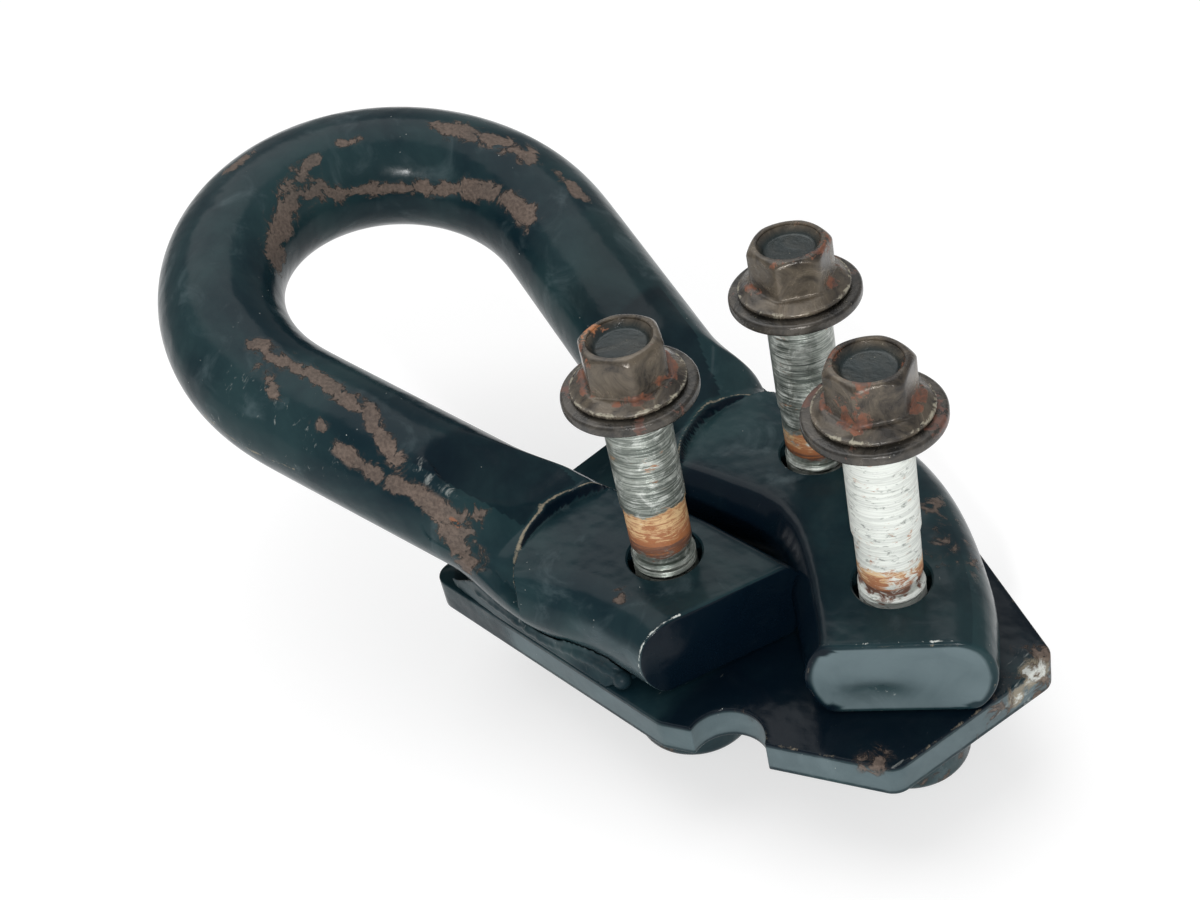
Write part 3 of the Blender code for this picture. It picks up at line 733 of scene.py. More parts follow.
class GeometryTree:
    """A Geometry Nodes tree with named inputs, run once on a carrier object."""

    def __init__(self, name: str) -> None:
        """Starts a tree that takes and gives geometry."""
        self.tree = bpy.data.node_groups.new(name, "GeometryNodeTree")
        for side in ("INPUT", "OUTPUT"):
            self.tree.interface.new_socket("Geometry", in_out=side, socket_type="NodeSocketGeometry")
        self.entry = self.tree.nodes.new("NodeGroupInput")
        self.exit = self.tree.nodes.new("NodeGroupOutput")
        self.identifiers: dict[str, str] = {}

    def size(self, name: str, kind: str = "NodeSocketFloat") -> bpy.types.NodeSocket:
        """Adds a named input and gives its socket inside the tree."""
        item = self.tree.interface.new_socket(name, in_out="INPUT", socket_type=kind)
        self.identifiers[name] = item.identifier
        return next(socket for socket in self.entry.outputs if socket.identifier == item.identifier)

    def add(self, kind: str, settings: dict | None = None, inputs: dict | None = None) -> bpy.types.Node:
        """Adds a node with its settings and the values or links of its sockets."""
        node = self.tree.nodes.new(kind)
        for name, value in (settings or {}).items():
            setattr(node, name, value)
        for name, value in (inputs or {}).items():
            if isinstance(value, bpy.types.NodeSocket):
                self.tree.links.new(value, node.inputs[name])
            else:
                node.inputs[name].default_value = value
        return node

    def close(self, geometry: bpy.types.NodeSocket, material: bpy.types.NodeSocket) -> None:
        """Ends the tree: instances become real and take their material."""
        real = self.add("GeometryNodeRealizeInstances", None, {"Geometry": geometry})
        inputs = {"Geometry": real.outputs[0], "Material": material}
        dressed = self.add("GeometryNodeSetMaterial", None, inputs)
        self.tree.links.new(dressed.outputs[0], self.exit.inputs[0])

    def run(self, name: str, carrier: bpy.types.Mesh, values: dict) -> bpy.types.Mesh:
        """Runs the tree on a mesh.

        Args:
            name: The result's name.
            carrier: The mesh that goes into the tree.
            values: The tree's inputs by name.

        Returns:
            The plain mesh that comes out.
        """
        holder = linked(name, carrier)
        modifier = holder.modifiers.new(name, "NODES")
        modifier.node_group = self.tree
        for key, value in values.items():
            modifier[self.identifiers[key]] = value
        graph = bpy.context.evaluated_depsgraph_get()
        made = bpy.data.meshes.new_from_object(holder.evaluated_get(graph))
        made.name = name
        holder.modifiers.remove(modifier)
        bpy.data.objects.remove(holder, do_unlink=True)
        return made


def path_mesh(name: str, points: np.ndarray, closed: bool = False) -> bpy.types.Mesh:
    """A chain of edges through points of the layout frame."""
    mesh = bpy.data.meshes.new(name)
    edges = [(index, index + 1) for index in range(len(points) - 1)]
    if closed:
        edges.append((len(points) - 1, 0))
    mesh.from_pydata((points - SEAT).tolist(), edges, [])
    return mesh


def ripple_tree() -> GeometryTree:
    """The tree that lays the overlapping ripples of a weld along a path."""
    made = GeometryTree("weld_ripples")
    pitch = made.size("Pitch")
    width = made.size("Width")
    seed = made.size("Seed", "NodeSocketInt")
    material = made.size("Material", "NodeSocketMaterial")
    path = made.add("GeometryNodeMeshToCurve", None, {"Mesh": made.entry.outputs["Geometry"]})
    points = made.add(
        "GeometryNodeCurveToPoints", {"mode": "LENGTH"}, {"Curve": path.outputs[0], "Length": pitch}
    )
    drop = made.add("GeometryNodeMeshIcoSphere", None, {"Radius": 0.5, "Subdivisions": 3})
    even = made.add("ShaderNodeCombineXYZ", None, {"X": width, "Y": width, "Z": pitch})
    spread = made.add("FunctionNodeRandomValue", {"data_type": "FLOAT"}, {2: 0.86, 3: 1.14, "Seed": seed})
    size = made.add(
        "ShaderNodeVectorMath", {"operation": "SCALE"}, {0: even.outputs[0], "Scale": spread.outputs[1]}
    )
    longer = made.add(
        "ShaderNodeVectorMath", {"operation": "MULTIPLY"}, {0: size.outputs[0], 1: (1.0, 1.0, 2.2)}
    )
    placed = made.add("GeometryNodeInstanceOnPoints", None, {
        "Points": points.outputs["Points"], "Instance": drop.outputs["Mesh"],
        "Rotation": points.outputs["Rotation"], "Scale": longer.outputs[0],
    })
    made.close(placed.outputs[0], material)
    return made


def thread_tree() -> GeometryTree:
    """The tree that winds a thread's ridge round a bolt, with both its ends run out."""
    made = GeometryTree("rolled_thread")
    turns = made.size("Turns")
    radius = made.size("Root radius")
    length = made.size("Length")
    ridge = made.size("Ridge radius")
    material = made.size("Material", "NodeSocketMaterial")
    spiral = made.add("GeometryNodeCurveSpiral", None, {
        "Resolution": 48, "Rotations": turns, "Start Radius": radius, "End Radius": radius, "Height": length,
    })
    upright = made.add("GeometryNodeSetCurveNormal", None, {"Curve": spiral.outputs[0]})
    if hasattr(upright, "mode"):
        upright.mode = "Z_UP"
    else:
        upright.inputs["Mode"].default_value = "Z Up"
    along = made.add("GeometryNodeSplineParameter")
    from_middle = made.add("ShaderNodeMath", {"operation": "PINGPONG"}, {0: along.outputs["Factor"], 1: 0.5})
    fade = made.add("ShaderNodeMapRange", {"interpolation_type": "SMOOTHSTEP"}, {
        "Value": from_middle.outputs[0], "From Min": 0.0, "From Max": 0.012, "To Min": 0.25, "To Max": 1.0,
    })
    profile = made.add(
        "GeometryNodeCurvePrimitiveCircle", {"mode": "RADIUS"}, {"Resolution": 6, "Radius": ridge}
    )
    skin = made.add("GeometryNodeCurveToMesh", None, {
        "Curve": upright.outputs[0], "Profile Curve": profile.outputs[0], "Fill Caps": True,
    })
    if "Scale" in skin.inputs:
        made.tree.links.new(fade.outputs["Result"], skin.inputs["Scale"])
    made.close(skin.outputs[0], material)
    return made


@dataclass(frozen=True)
class Streak:
    """A worn or rusted streak of the bar: places along the bar in millimetres and round it in degrees.

    The angle starts at the inner side of the eye and grows over the crest towards the outer side.
    """

    places: tuple[Place, ...]
    width: float
    strength: float = 1.0


LOOP_RUST = (
    Streak(((164, 14), (172, 20), (181, 25), (191, 30), (200, 22), (205, 10)), 3.4),
    Streak(((186, 34), (196, 40)), 3.0, 0.8),
    Streak(((205, 10), (214, 6), (222, 6), (232, 9), (241, 13), (252, 30)), 1.7, 0.95),
    Streak(((252, 28), (262, 42), (271, 52), (279, 56)), 2.8),
    Streak(((237, 76), (245, 82), (253, 88), (263, 93)), 2.6),
    Streak(((272, 104), (281, 112)), 1.5, 0.9),
    Streak(((211, 55), (216, 56)), 1.3),
    Streak(((200, 46), (203, 47)), 1.4),
    Streak(((186, 100), (192, 98)), 1.6, 0.7),
    Streak(((128, 90), (122, 96), (114, 92), (107, 95), (101, 99)), 2.5),
    Streak(((121, 112), (117, 122)), 1.8, 0.9),
    Streak(((96, 100), (91, 112), (87, 122), (83, 130)), 1.9),
    Streak(((97, 138), (91, 143), (86, 145)), 1.7, 0.9),
    Streak(((82, 144), (77, 145), (72, 149), (67, 147), (62, 136)), 2.3),
    Streak(((65, 166), (61, 176)), 3.4, 0.9),
    Streak(((104, 130), (103, 132)), 1.5, 0.9),
)
LOOP_ORANGE = (Streak(((67, 150), (65, 153)), 1.1, 0.8),)
LOOP_SCUFFS = (
    Streak(((79, 121), (75, 127), (70, 130)), 2.6, 0.62),
    Streak(((125, 130), (108, 140), (92, 150)), 9.0, 0.42),
    Streak(((128, 176), (118, 186), (106, 182)), 4.0, 0.45),
    Streak(((196, 150), (170, 150)), 9.0, 0.30),
)
LOOP_GRIME = (Streak(((131, 184), (119, 189), (107, 182)), 0.7, 0.62),)
PAD_RUST = ((0.0068, -0.0262, 0.0, 0.0060), (-0.0060, -0.0215, -0.001, 0.0060))
PAD_RUST_SPOTS = ((0.0425, 0.0300, 0.0, 0.0016), (0.0447, 0.0288, 0.0, 0.0014))
SHOULDER_SCRAPES = ((0.0738, 0.0262, 0.0040, 0.0022), (0.0745, 0.0230, 0.0035, 0.0016))
PAD_END_CHIPS = ((0.0290, 0.0300, -0.0040, 0.0016), (0.0275, 0.0240, 0.0, 0.0012))

FLANK = (
    (0.0600, 0.0130, 0.0006, 0.0385),
    (0.0743, 0.0224, 0.0022, 0.0398),
    (0.0780, 0.0273, 0.0055, 0.0408),
    (0.0800, 0.0296, 0.0071, 0.0414),
    (0.0824, 0.0328, 0.0090, 0.0421),
    (0.0853, 0.0356, 0.0114, 0.0430),
    (0.0890, 0.0373, 0.0145, 0.0441),
    (0.0945, 0.0372, 0.0190, 0.0458),
)


def run_lengths(points: np.ndarray) -> np.ndarray:
    """The distance along a chain of points, from its start."""
    return np.concatenate(([0.0], np.cumsum(np.linalg.norm(np.diff(points, axis=0), axis=1))))


def resampled(points: np.ndarray, known: np.ndarray, wanted: np.ndarray) -> np.ndarray:
    """Points of a chain at wanted places, given the places of the points that it has."""
    return np.stack([np.interp(wanted, known, points[:, axis]) for axis in range(3)], axis=-1)


def turned(direction: np.ndarray, degrees: float) -> np.ndarray:
    """A level direction turned about the vertical."""
    cosine, sine = math.cos(math.radians(degrees)), math.sin(math.radians(degrees))
    x, y = direction[0], direction[1]
    return np.array((x * cosine - y * sine, x * sine + y * cosine, 0.0))


def bend(start: np.ndarray, start_heading: np.ndarray, end: np.ndarray, end_heading: np.ndarray,
         pull: float, steps: int) -> np.ndarray:
    """Points of a smooth bend between two headings, without its first point."""
    t = np.linspace(0.0, 1.0, steps + 1)[1:, None]
    keep = 1.0 - t
    first = start + start_heading * pull
    last = end - end_heading * pull
    return start * keep ** 3 + first * 3 * keep ** 2 * t + last * 3 * keep * t ** 2 + end * t ** 3


@dataclass
class ForgedLoop:
    """The bar: bent to a teardrop eye, its legs pressed into two pads with shoulders above them.

    FLANK holds, for places along the hook, how far out the slanted face ends, how high it is there,
    and how far out the bar's own side lies.
    """

    bar_radius: float = 0.0151
    eye_radius: float = 0.0437
    eye_reach: float = 0.0763
    leg_angle: float = 15.0
    eye_tilt: float = 19.5
    shoulder_x: float = 0.0743
    pad_thickness: float = 0.0195
    left_width: float = 0.0385
    right_width: float = 0.0405
    right_end_width: float = 0.0375
    left_overhang: float = 0.0190
    right_overhang: float = 0.0184
    left_pass: float = 0.0024
    right_pass: float = 0.0019
    swing: float = 14.0
    end_swing: float = 12.0
    end_skew: float = 19.0
    end_rounding: float = 0.0010
    end_inset: float = 0.0008
    end_rings: int = 15
    dent_depth: float = 0.0017
    dent_aside: float = 0.0052
    dent_below: float = 0.0044
    dent_length: float = 0.0078
    dent_height: float = 0.0030
    press_run: float = 0.0200
    step: float = 0.0027
    nose_radius: float = 0.0248
    facet_angle: float = 38.7
    hole_rim: float = 0.0004
    left_nose: Place = (0.0490, 0.0215)
    right_nose: Place = (0.0430, -0.0245)
    scoop_wall: float = 0.0011
    left_crease: float = 0.0050
    right_crease: float = 0.0040
    stations: int = 560
    ring: int = 168
    smoothing: float = 0.0035

    def __post_init__(self) -> None:
        """Works out the bar's levels, its route and the frames along it."""
        self.rest_z = -self.pad_thickness + self.bar_radius
        self.sink = self.bar_radius - self.pad_thickness / 2
        self.route = self.make_route()
        self.distance = run_lengths(self.route)
        self.middle = len(self.route) // 2
        self.set_frames()

    def eye_point(self, reach: np.ndarray, across: np.ndarray) -> np.ndarray:
        """Points of the tilted plane that holds the eye and both legs."""
        tilt = math.radians(self.eye_tilt)
        x = self.shoulder_x + reach * math.cos(tilt)
        return np.stack((x, across, self.rest_z + reach * math.sin(tilt)), axis=-1)

    def eye(self) -> np.ndarray:
        """The centre line of both straight legs and of the eye between them."""
        slope = math.radians(self.leg_angle)
        tangent_reach = self.eye_reach - self.eye_radius * math.sin(slope)
        tangent_across = self.eye_radius * math.cos(slope)
        reach = np.linspace(0.0, tangent_reach, 200)[:-1]
        across = tangent_across - (tangent_reach - reach) * math.tan(slope)
        angle = np.linspace(math.pi / 2 + slope, -math.pi / 2 - slope, 500)
        round_reach = self.eye_reach + self.eye_radius * np.cos(angle)
        loop = self.eye_point(round_reach, self.eye_radius * np.sin(angle))
        back = self.eye_point(reach[::-1], -across[::-1])
        return np.concatenate((self.eye_point(reach, across), loop, back))

    def make_route(self) -> np.ndarray:
        """The bar's centre line at even steps, from the left pad's end to the right pad's."""
        eye = self.eye()
        level = np.array((1.0, 1.0, 0.0))
        forwards = np.array((-1.0, 0.0, 0.0))
        bolts = [np.array((*place, 0.0)) for place in BOLT_PLACES]
        entries = []
        for last, before, over in (
            (eye[0], eye[1], bolts[0] + (0.0, self.left_pass, 0.0)),
            (eye[-1], eye[-2], bolts[1] + (0.0, self.right_pass, 0.0)),
        ):
            start, heading = last * level, (last - before) * level
            heading = heading / np.linalg.norm(heading)
            pull = np.linalg.norm(start - over) / 3
            entries.append((over, bend(start, heading, over, forwards, pull, 100)))
        over, entry = entries[0]
        tail = self.left_overhang - self.end_rounding
        end = over + forwards * tail
        left = np.concatenate((entry, bend(over, forwards, end, forwards, tail / 3, 50)))
        over, entry = entries[1]
        third = bolts[2]
        span = np.linalg.norm(third - over)
        inwards = turned((third - over) / span, -self.swing)
        tail = self.right_overhang - self.end_rounding
        end = third + turned(inwards, -self.end_swing / 2) * tail
        right = np.concatenate((
            entry, bend(over, forwards, third, inwards, span * 0.36, 150),
            bend(third, inwards, end, turned(inwards, -self.end_swing), tail / 3, 50),
        ))
        rest = np.array((0.0, 0.0, self.rest_z))
        route = np.concatenate((left[::-1] + rest, eye, right + rest))
        route[:, 2] -= self.sink * self.pressed(route[:, 0], 0.35)
        return self.evened(route)

    def evened(self, route: np.ndarray) -> np.ndarray:
        """A route with its kinks eased, with a point for each station."""
        distance = run_lengths(route)
        fine = np.linspace(0.0, distance[-1], 4 * self.stations)
        even = resampled(route, distance, fine)
        reach = int(3 * self.smoothing / (fine[1] - fine[0]))
        weights = np.exp(-0.5 * (np.arange(-reach, reach + 1) * (fine[1] - fine[0]) / self.smoothing) ** 2)
        weights /= weights.sum()
        before = 2 * even[0] - even[reach:0:-1]
        after = 2 * even[-1] - even[-2:-reach - 2:-1]
        padded = np.concatenate((before, even, after))
        eased = np.stack([np.convolve(padded[:, axis], weights, "valid") for axis in range(3)], axis=-1)
        return resampled(eased, np.arange(len(eased)), self.station_places(eased[:, 0]))

    def station_places(self, x: np.ndarray) -> np.ndarray:
        """Where on the fine route the stations stand: close at the shoulders, wide in the eye.

        Args:
            x: The fine route's distance along the hook.

        Returns:
            The stations' places, as fractional indices of the fine route.
        """
        shoulders = smooth((x - 0.052) / 0.008) * smooth((0.104 - x) / 0.008)
        pads = smooth((0.062 - x) / 0.010)
        density = 1.0 + 3.6 * shoulders + 0.9 * pads
        count = np.concatenate(([0.0], np.cumsum((density[1:] + density[:-1]) / 2)))
        return np.interp(np.linspace(0.0, count[-1], self.stations), count, np.arange(len(x)))

    def pressed(self, x: np.ndarray, lead: float) -> np.ndarray:
        """How far the press has flattened the bar: 0 in the eye and 1 in the pads."""
        return smooth((self.shoulder_x - x) / self.press_run + lead)

    def set_frames(self) -> None:
        """Sets the directions along, across and up, and the half width, at every station."""
        along = np.gradient(self.route, axis=0)
        along[:, 2] *= 1.0 - smooth((self.shoulder_x + 0.010 - self.route[:, 0]) / 0.014)
        along /= np.linalg.norm(along, axis=1)[:, None]
        side = np.stack((along[:, 1], -along[:, 0], np.zeros(len(along))), axis=-1)
        side /= np.linalg.norm(side, axis=1)[:, None]
        left = np.arange(len(along)) < self.middle
        x = self.route[:, 0]
        skew_start = BOLT_PLACES[0][0] + 0.004
        skew = np.radians(self.end_skew) * smooth((skew_start - x) / self.left_overhang) * left
        cosine, sine = np.cos(-skew), np.sin(-skew)
        for vectors in (along, side):
            vx, vy = vectors[:, 0].copy(), vectors[:, 1].copy()
            vectors[:, 0] = vx * cosine - vy * sine
            vectors[:, 1] = vx * sine + vy * cosine
        tail = smooth(-x / self.right_overhang)
        right_width = self.right_width + (self.right_end_width - self.right_width) * tail
        spread = (np.where(left, self.left_width, right_width) / 2 - self.bar_radius) * self.pressed(x, 0.75)
        self.along = along
        self.side = side
        self.up = np.cross(side, along)
        self.half_width = (self.bar_radius + spread) / np.cos(skew)

    def press_distance(self, x: np.ndarray, y: np.ndarray) -> np.ndarray:
        """How far points lie outside the press tool, which covers both pads up to its two round noses."""
        gaps = [
            np.where(x > nose[0], np.hypot(x - nose[0], y - nose[1]), (y - nose[1]) * outwards)
            for nose, outwards in ((self.left_nose, 1.0), (self.right_nose, -1.0))
        ]
        return np.minimum(*gaps) - self.nose_radius

    def ledge_height(self, x: np.ndarray, y: np.ndarray, low: float, is_left: bool) -> np.ndarray:
        """The height that the slanted face and the broad flank beside it leave above a shoulder.

        Args:
            x: Distance along the hook.
            y: Distance across it.
            low: Height of the bar's centre.
            is_left: True for the left leg.

        Returns:
            The height; it lies above the bar where nothing is pressed.
        """
        nose = self.left_nose if is_left else self.right_nose
        run = np.maximum(x - nose[0] - self.nose_radius, 0.0)
        facet = self.step + run * math.tan(math.radians(self.facet_angle))
        x = x + self.left_nose[0] - nose[0]
        outwards = y if is_left else self.left_nose[1] + self.right_nose[1] - y
        places, *lines = np.transpose(FLANK)
        edge, rim, outer = (np.interp(x, places, line) for line in lines)
        share = np.clip((outwards - edge) / (outer - edge), 0.0, 1.0)
        flank = rim - (rim - low) * (1.0 - np.sqrt(np.maximum(1.0 - share ** 2, 0.0)))
        flank = flank + 0.02 * smooth((x - 0.0885) / 0.006)
        wall = self.scoop_wall * smooth((x - 0.0745) / 0.0060)
        past = smooth((outwards - edge) / 0.0018 + 0.5)
        return np.maximum((facet - wall) * (1.0 - past) + flank * past, -0.012)

    def section(self, index: int, inset: float = 0.0, offset: float = 0.0) -> np.ndarray:
        """One ring of the pressed bar.

        Args:
            index: The station.
            inset: How much smaller the ring is at its sides, its top and its bottom.
            offset: How far the ring lies beyond the station, away from the eye.

        Returns:
            The ring's points.
        """
        is_left = index < self.middle
        angle = 2 * np.pi * (np.arange(self.ring) + 0.5) / self.ring
        across = (self.half_width[index] - inset) * np.cos(angle)
        above = self.bar_radius * np.sin(angle)
        points = self.route[index] + self.along[index] * (-offset if is_left else offset)
        points = points + across[:, None] * self.side[index] + above[:, None] * self.up[index]
        x, y, z = points.T
        if self.route[index, 0] < self.shoulder_x + 0.040:
            rise = smooth(self.press_distance(x, y) / 0.0008 + 0.35)
            outside = np.clip(-across / self.half_width[index], 0.0, 1.0)
            ledge = self.ledge_height(x, y, self.route[index, 2], is_left)
            pad = np.full_like(z, -inset)
            cap = np.where(rise > 0.999, ledge, pad + (np.maximum(ledge, pad) - pad) * rise)
            broad = self.left_crease if is_left else self.right_crease
            crease = 0.0008 + broad * outside * smooth((0.070 - x) / 0.010)
            z = soft_min(z, cap, crease)
            z = soft_max(z, np.full_like(z, -self.pad_thickness + inset), 0.0012 + inset)
        return np.stack((x, y, z), axis=-1)

    def rows(self) -> np.ndarray:
        """All rings, with both ends' edges rounded over and their faces closed."""
        start, end = [], []
        for turn in np.linspace(0.0, math.pi / 2, 6)[1:]:
            inset = self.end_inset * (1.0 - math.cos(turn))
            reach = self.end_rounding * math.sin(turn)
            start.append(self.section(0, inset, reach))
            end.append(self.section(self.stations - 1, inset, reach))
        body = [self.section(index) for index in range(self.stations)]
        start += self.end_face(start[-1], -self.side[0], 0.0)
        end += self.end_face(end[-1], self.side[-1], self.dent_depth)
        return np.array(start[::-1] + body + end)

    def end_face(self, last: np.ndarray, aside: np.ndarray, depth: float) -> list[np.ndarray]:
        """Rings that close a pad's end face, with a hammered dent low in it.

        Args:
            last: The face's outermost ring.
            aside: The level direction in which the dent lies off the face's middle.
            depth: How deep the dent is.

        Returns:
            The rings, from the outermost inwards.
        """
        middle = last.mean(axis=0)
        inwards = np.cross(aside, np.array((0.0, 0.0, 1.0)))
        if inwards @ (self.route[self.middle] - middle) < 0.0:
            inwards = -inwards
        rings = []
        for share in np.linspace(1.0, 0.02, self.end_rings)[1:]:
            ring = middle + (last - middle) * share
            level = ((ring - middle) @ aside - self.dent_aside) / self.dent_length
            tall = (ring[:, 2] - middle[2] + self.dent_below) / self.dent_height
            hollow = depth * bell(np.hypot(level, tall)) * smooth((1.0 - share) / 0.15)
            rings.append(ring + inwards * hollow[:, None])
        return rings

    def bar_place(self, points: np.ndarray, batch: int = 4000) -> tuple[np.ndarray, np.ndarray]:
        """Where points lie on the bar.

        Args:
            points: Points in the layout frame.
            batch: How many points are worked out at once.

        Returns:
            The distance along the bar, and the angle round it from the inner side over the top.
        """
        along = np.empty(len(points))
        around = np.empty(len(points))
        for start in range(0, len(points), batch):
            part = points[start:start + batch]
            nearest = ((part[:, None] - self.route[None]) ** 2).sum(axis=2).argmin(axis=1)
            offset = part - self.route[nearest]
            along[start:start + batch] = self.distance[nearest]
            around[start:start + batch] = np.degrees(np.arctan2(
                (offset * self.up[nearest]).sum(axis=1), (offset * self.side[nearest]).sum(axis=1)
            ))
        return along, around

    def streaks(self, along: np.ndarray, around: np.ndarray, streaks: tuple[Streak, ...]) -> np.ndarray:
        """How strongly each point lies in one of some streaks, from 0 to 1."""
        mask = np.zeros(len(along))
        arc = self.bar_radius * 1000.0 * math.pi / 180.0
        for streak in streaks:
            gap = np.full(len(along), 1000.0)
            for (s0, a0), (s1, a1) in zip(streak.places, streak.places[1:]):
                dx, dy = s1 - s0, (a1 - a0) * arc
                px = along * 1000.0 - s0
                py = ((around - a0 + 180.0) % 360.0 - 180.0) * arc
                share = np.clip((px * dx + py * dy) / (dx * dx + dy * dy), 0.0, 1.0)
                gap = np.minimum(gap, np.hypot(px - share * dx, py - share * dy))
            mask = np.maximum(mask, streak.strength * bell(gap / streak.width))
        return mask

    def build(self, finishes: Finishes) -> None:
        """Makes the loop and paints its flaws, with painted light, painted shade and painted glints."""
        straight, flare = BOLT_HOLE_RADIUS, BOLT_HOLE_RADIUS + self.hole_rim
        profile = [(straight, -0.040), (straight, -self.hole_rim), (flare, 0.0), (flare, 0.02)]
        tools = [turned_rows(place, 0.0, profile) for place in BOLT_PLACES]
        mesh = tidied(cut("forged_loop", mesh_from_rows("forged_loop", self.rows()), tools, []))
        points = points_of(mesh)
        along, around = self.bar_place(points)
        wear(
            mesh,
            rust=np.max((
                self.streaks(along, around, LOOP_RUST), patches(points, PAD_RUST, 0.40),
                patches(points, PAD_RUST_SPOTS, 0.70),
            ), axis=0),
            orange=self.streaks(along, around, LOOP_ORANGE),
            scuff=np.maximum(0.14, self.streaks(along, around, LOOP_SCUFFS)),
            grime=np.max((
                self.shoulder_grime(points), self.streaks(along, around, LOOP_GRIME),
                0.50 * bell((self.end_depth(points, along) - 0.0006) / 0.0004),
            ), axis=0),
            # Painted light on lit faces of the pads, painted shade on steps and in recesses, painted glints
            # on the pads' end edges.
            dull=self.dulled_and_lit(points, along), oil=self.shaded(points, along, around),
            bare=self.bared(points, along),
        )
        add_piece("forged_loop", mesh, finishes.paint, HOOK, "tow_loop", 32.0)

    def end_reach(self, points: np.ndarray, along: np.ndarray, is_left: bool) -> np.ndarray:
        """How far points lie beyond a pad's last station, and far inside for all others."""
        station = 0 if is_left else -1
        heading = -self.along[0] if is_left else self.along[-1]
        close = np.abs(along - self.distance[station]) < 0.012
        return np.where(close, (points - self.route[station]) @ heading, -1.0)

    def end_depth(self, points: np.ndarray, along: np.ndarray) -> np.ndarray:
        """How far points of the right pad's end face lie inside its outline; -1 elsewhere."""
        offset = points - self.route[-1]
        round_radius = self.pad_thickness / 2
        level = np.maximum(np.abs(offset @ self.side[-1]) - self.half_width[-1] + round_radius, 0.0)
        depth = round_radius - np.hypot(level, points[:, 2] + round_radius)
        return np.where(self.end_reach(points, along, False) > -0.003, depth, -1.0)

    def on_right_end(self, points: np.ndarray, along: np.ndarray) -> np.ndarray:
        """1 on the right pad's end face, its dent too, and 0 elsewhere."""
        return smooth((self.end_depth(points, along) - 0.0007) / 0.0004)

    def dent_share(self, points: np.ndarray) -> np.ndarray:
        """1 in the middle of the right end face's dent and 0 away from it."""
        level = (points - self.route[-1]) @ self.side[-1] - self.dent_aside
        tall = points[:, 2] + self.pad_thickness / 2 + self.dent_below
        return bell(np.hypot(level / self.dent_length, tall / self.dent_height))

    def dulled_and_lit(self, points: np.ndarray, along: np.ndarray) -> np.ndarray:
        """Where the paint is painted lighter grey, as rubbed paint together with painted light on faces
        turned to the lamp: on the right pad's end face, less in its dent, and along the left pad's side.
        """
        x, y, z = points.T
        end = self.on_right_end(points, along) * (0.85 - 0.45 * self.dent_share(points))
        left_side = smooth((y - 0.0290) / 0.005) * smooth((0.064 - x) / 0.02) * smooth((-0.003 - z) / 0.004)
        return np.maximum(end, left_side * 0.50)

    def shaded(self, points: np.ndarray, along: np.ndarray, around: np.ndarray) -> np.ndarray:
        """Where painted shade darkens the paint: on the steps, in the slanted faces, on the left pad's end
        face, between the pads and on the right pad's top near the third bolt.
        """
        x, y, z = points.T
        press = self.press_distance(x, y)
        step = bell((press - 0.0001) / 0.0006) * (z > 0.0002) * (x > 0.050)
        slant = smooth((press - 0.0008) / 0.0010) * (z > 0.0) * (np.abs(around - 80.0) < 43.0)
        slant = slant * smooth((0.0985 - x) / 0.004) * 0.62
        left_end = smooth((self.end_reach(points, along, True) - self.end_rounding * 0.7) / 0.0003)
        between = smooth((48.0 - np.abs(around)) / 22.0) * smooth((0.066 - x) / 0.008) * 0.85
        between = between * (1.0 - self.on_right_end(points, along))
        top = smooth((0.026 - x) / 0.014) * (z > -0.0010) * smooth((0.012 - y) / 0.004) * 0.42
        return np.max((step, slant, left_end, between, top), axis=0)

    def bared(self, points: np.ndarray, along: np.ndarray) -> np.ndarray:
        """Where bright steel is painted: painted glints along the edges of the pads' ends and a painted
        highlight in the dent.
        """
        y, z = points[:, 1], points[:, 2]
        left, right = self.end_reach(points, along, True), self.end_reach(points, along, False)
        left_rim = bell((left - self.end_rounding * 0.5) / 0.0004) * (y > 0.0265) * (z > -0.0150)
        right_rim = bell((right - self.end_rounding * 0.4) / 0.0004) * (z > -0.0008)
        dent = self.dent_share(points) * self.on_right_end(points, along)
        return np.max((left_rim * 0.66, right_rim * 0.52, dent * 0.44), axis=0)

    def shoulder_grime(self, points: np.ndarray) -> np.ndarray:
        """Dirt and bare metal along the upper edge of both shoulders, widest at the left one's middle."""
        x, y, z = points.T
        gap = np.abs(self.press_distance(x, y) - 0.0009)
        wide = 0.0004 + 0.0009 * bell(np.hypot(x - 0.0690, y - 0.0345) / 0.0050)
        line = 0.72 * bell(gap / wide) * (z > -0.0065) * (x > 0.052)
        scrapes, chips = patches(points, SHOULDER_SCRAPES, 0.70), patches(points, PAD_END_CHIPS, 0.45)
        return np.max((line, scrapes, chips), axis=0)


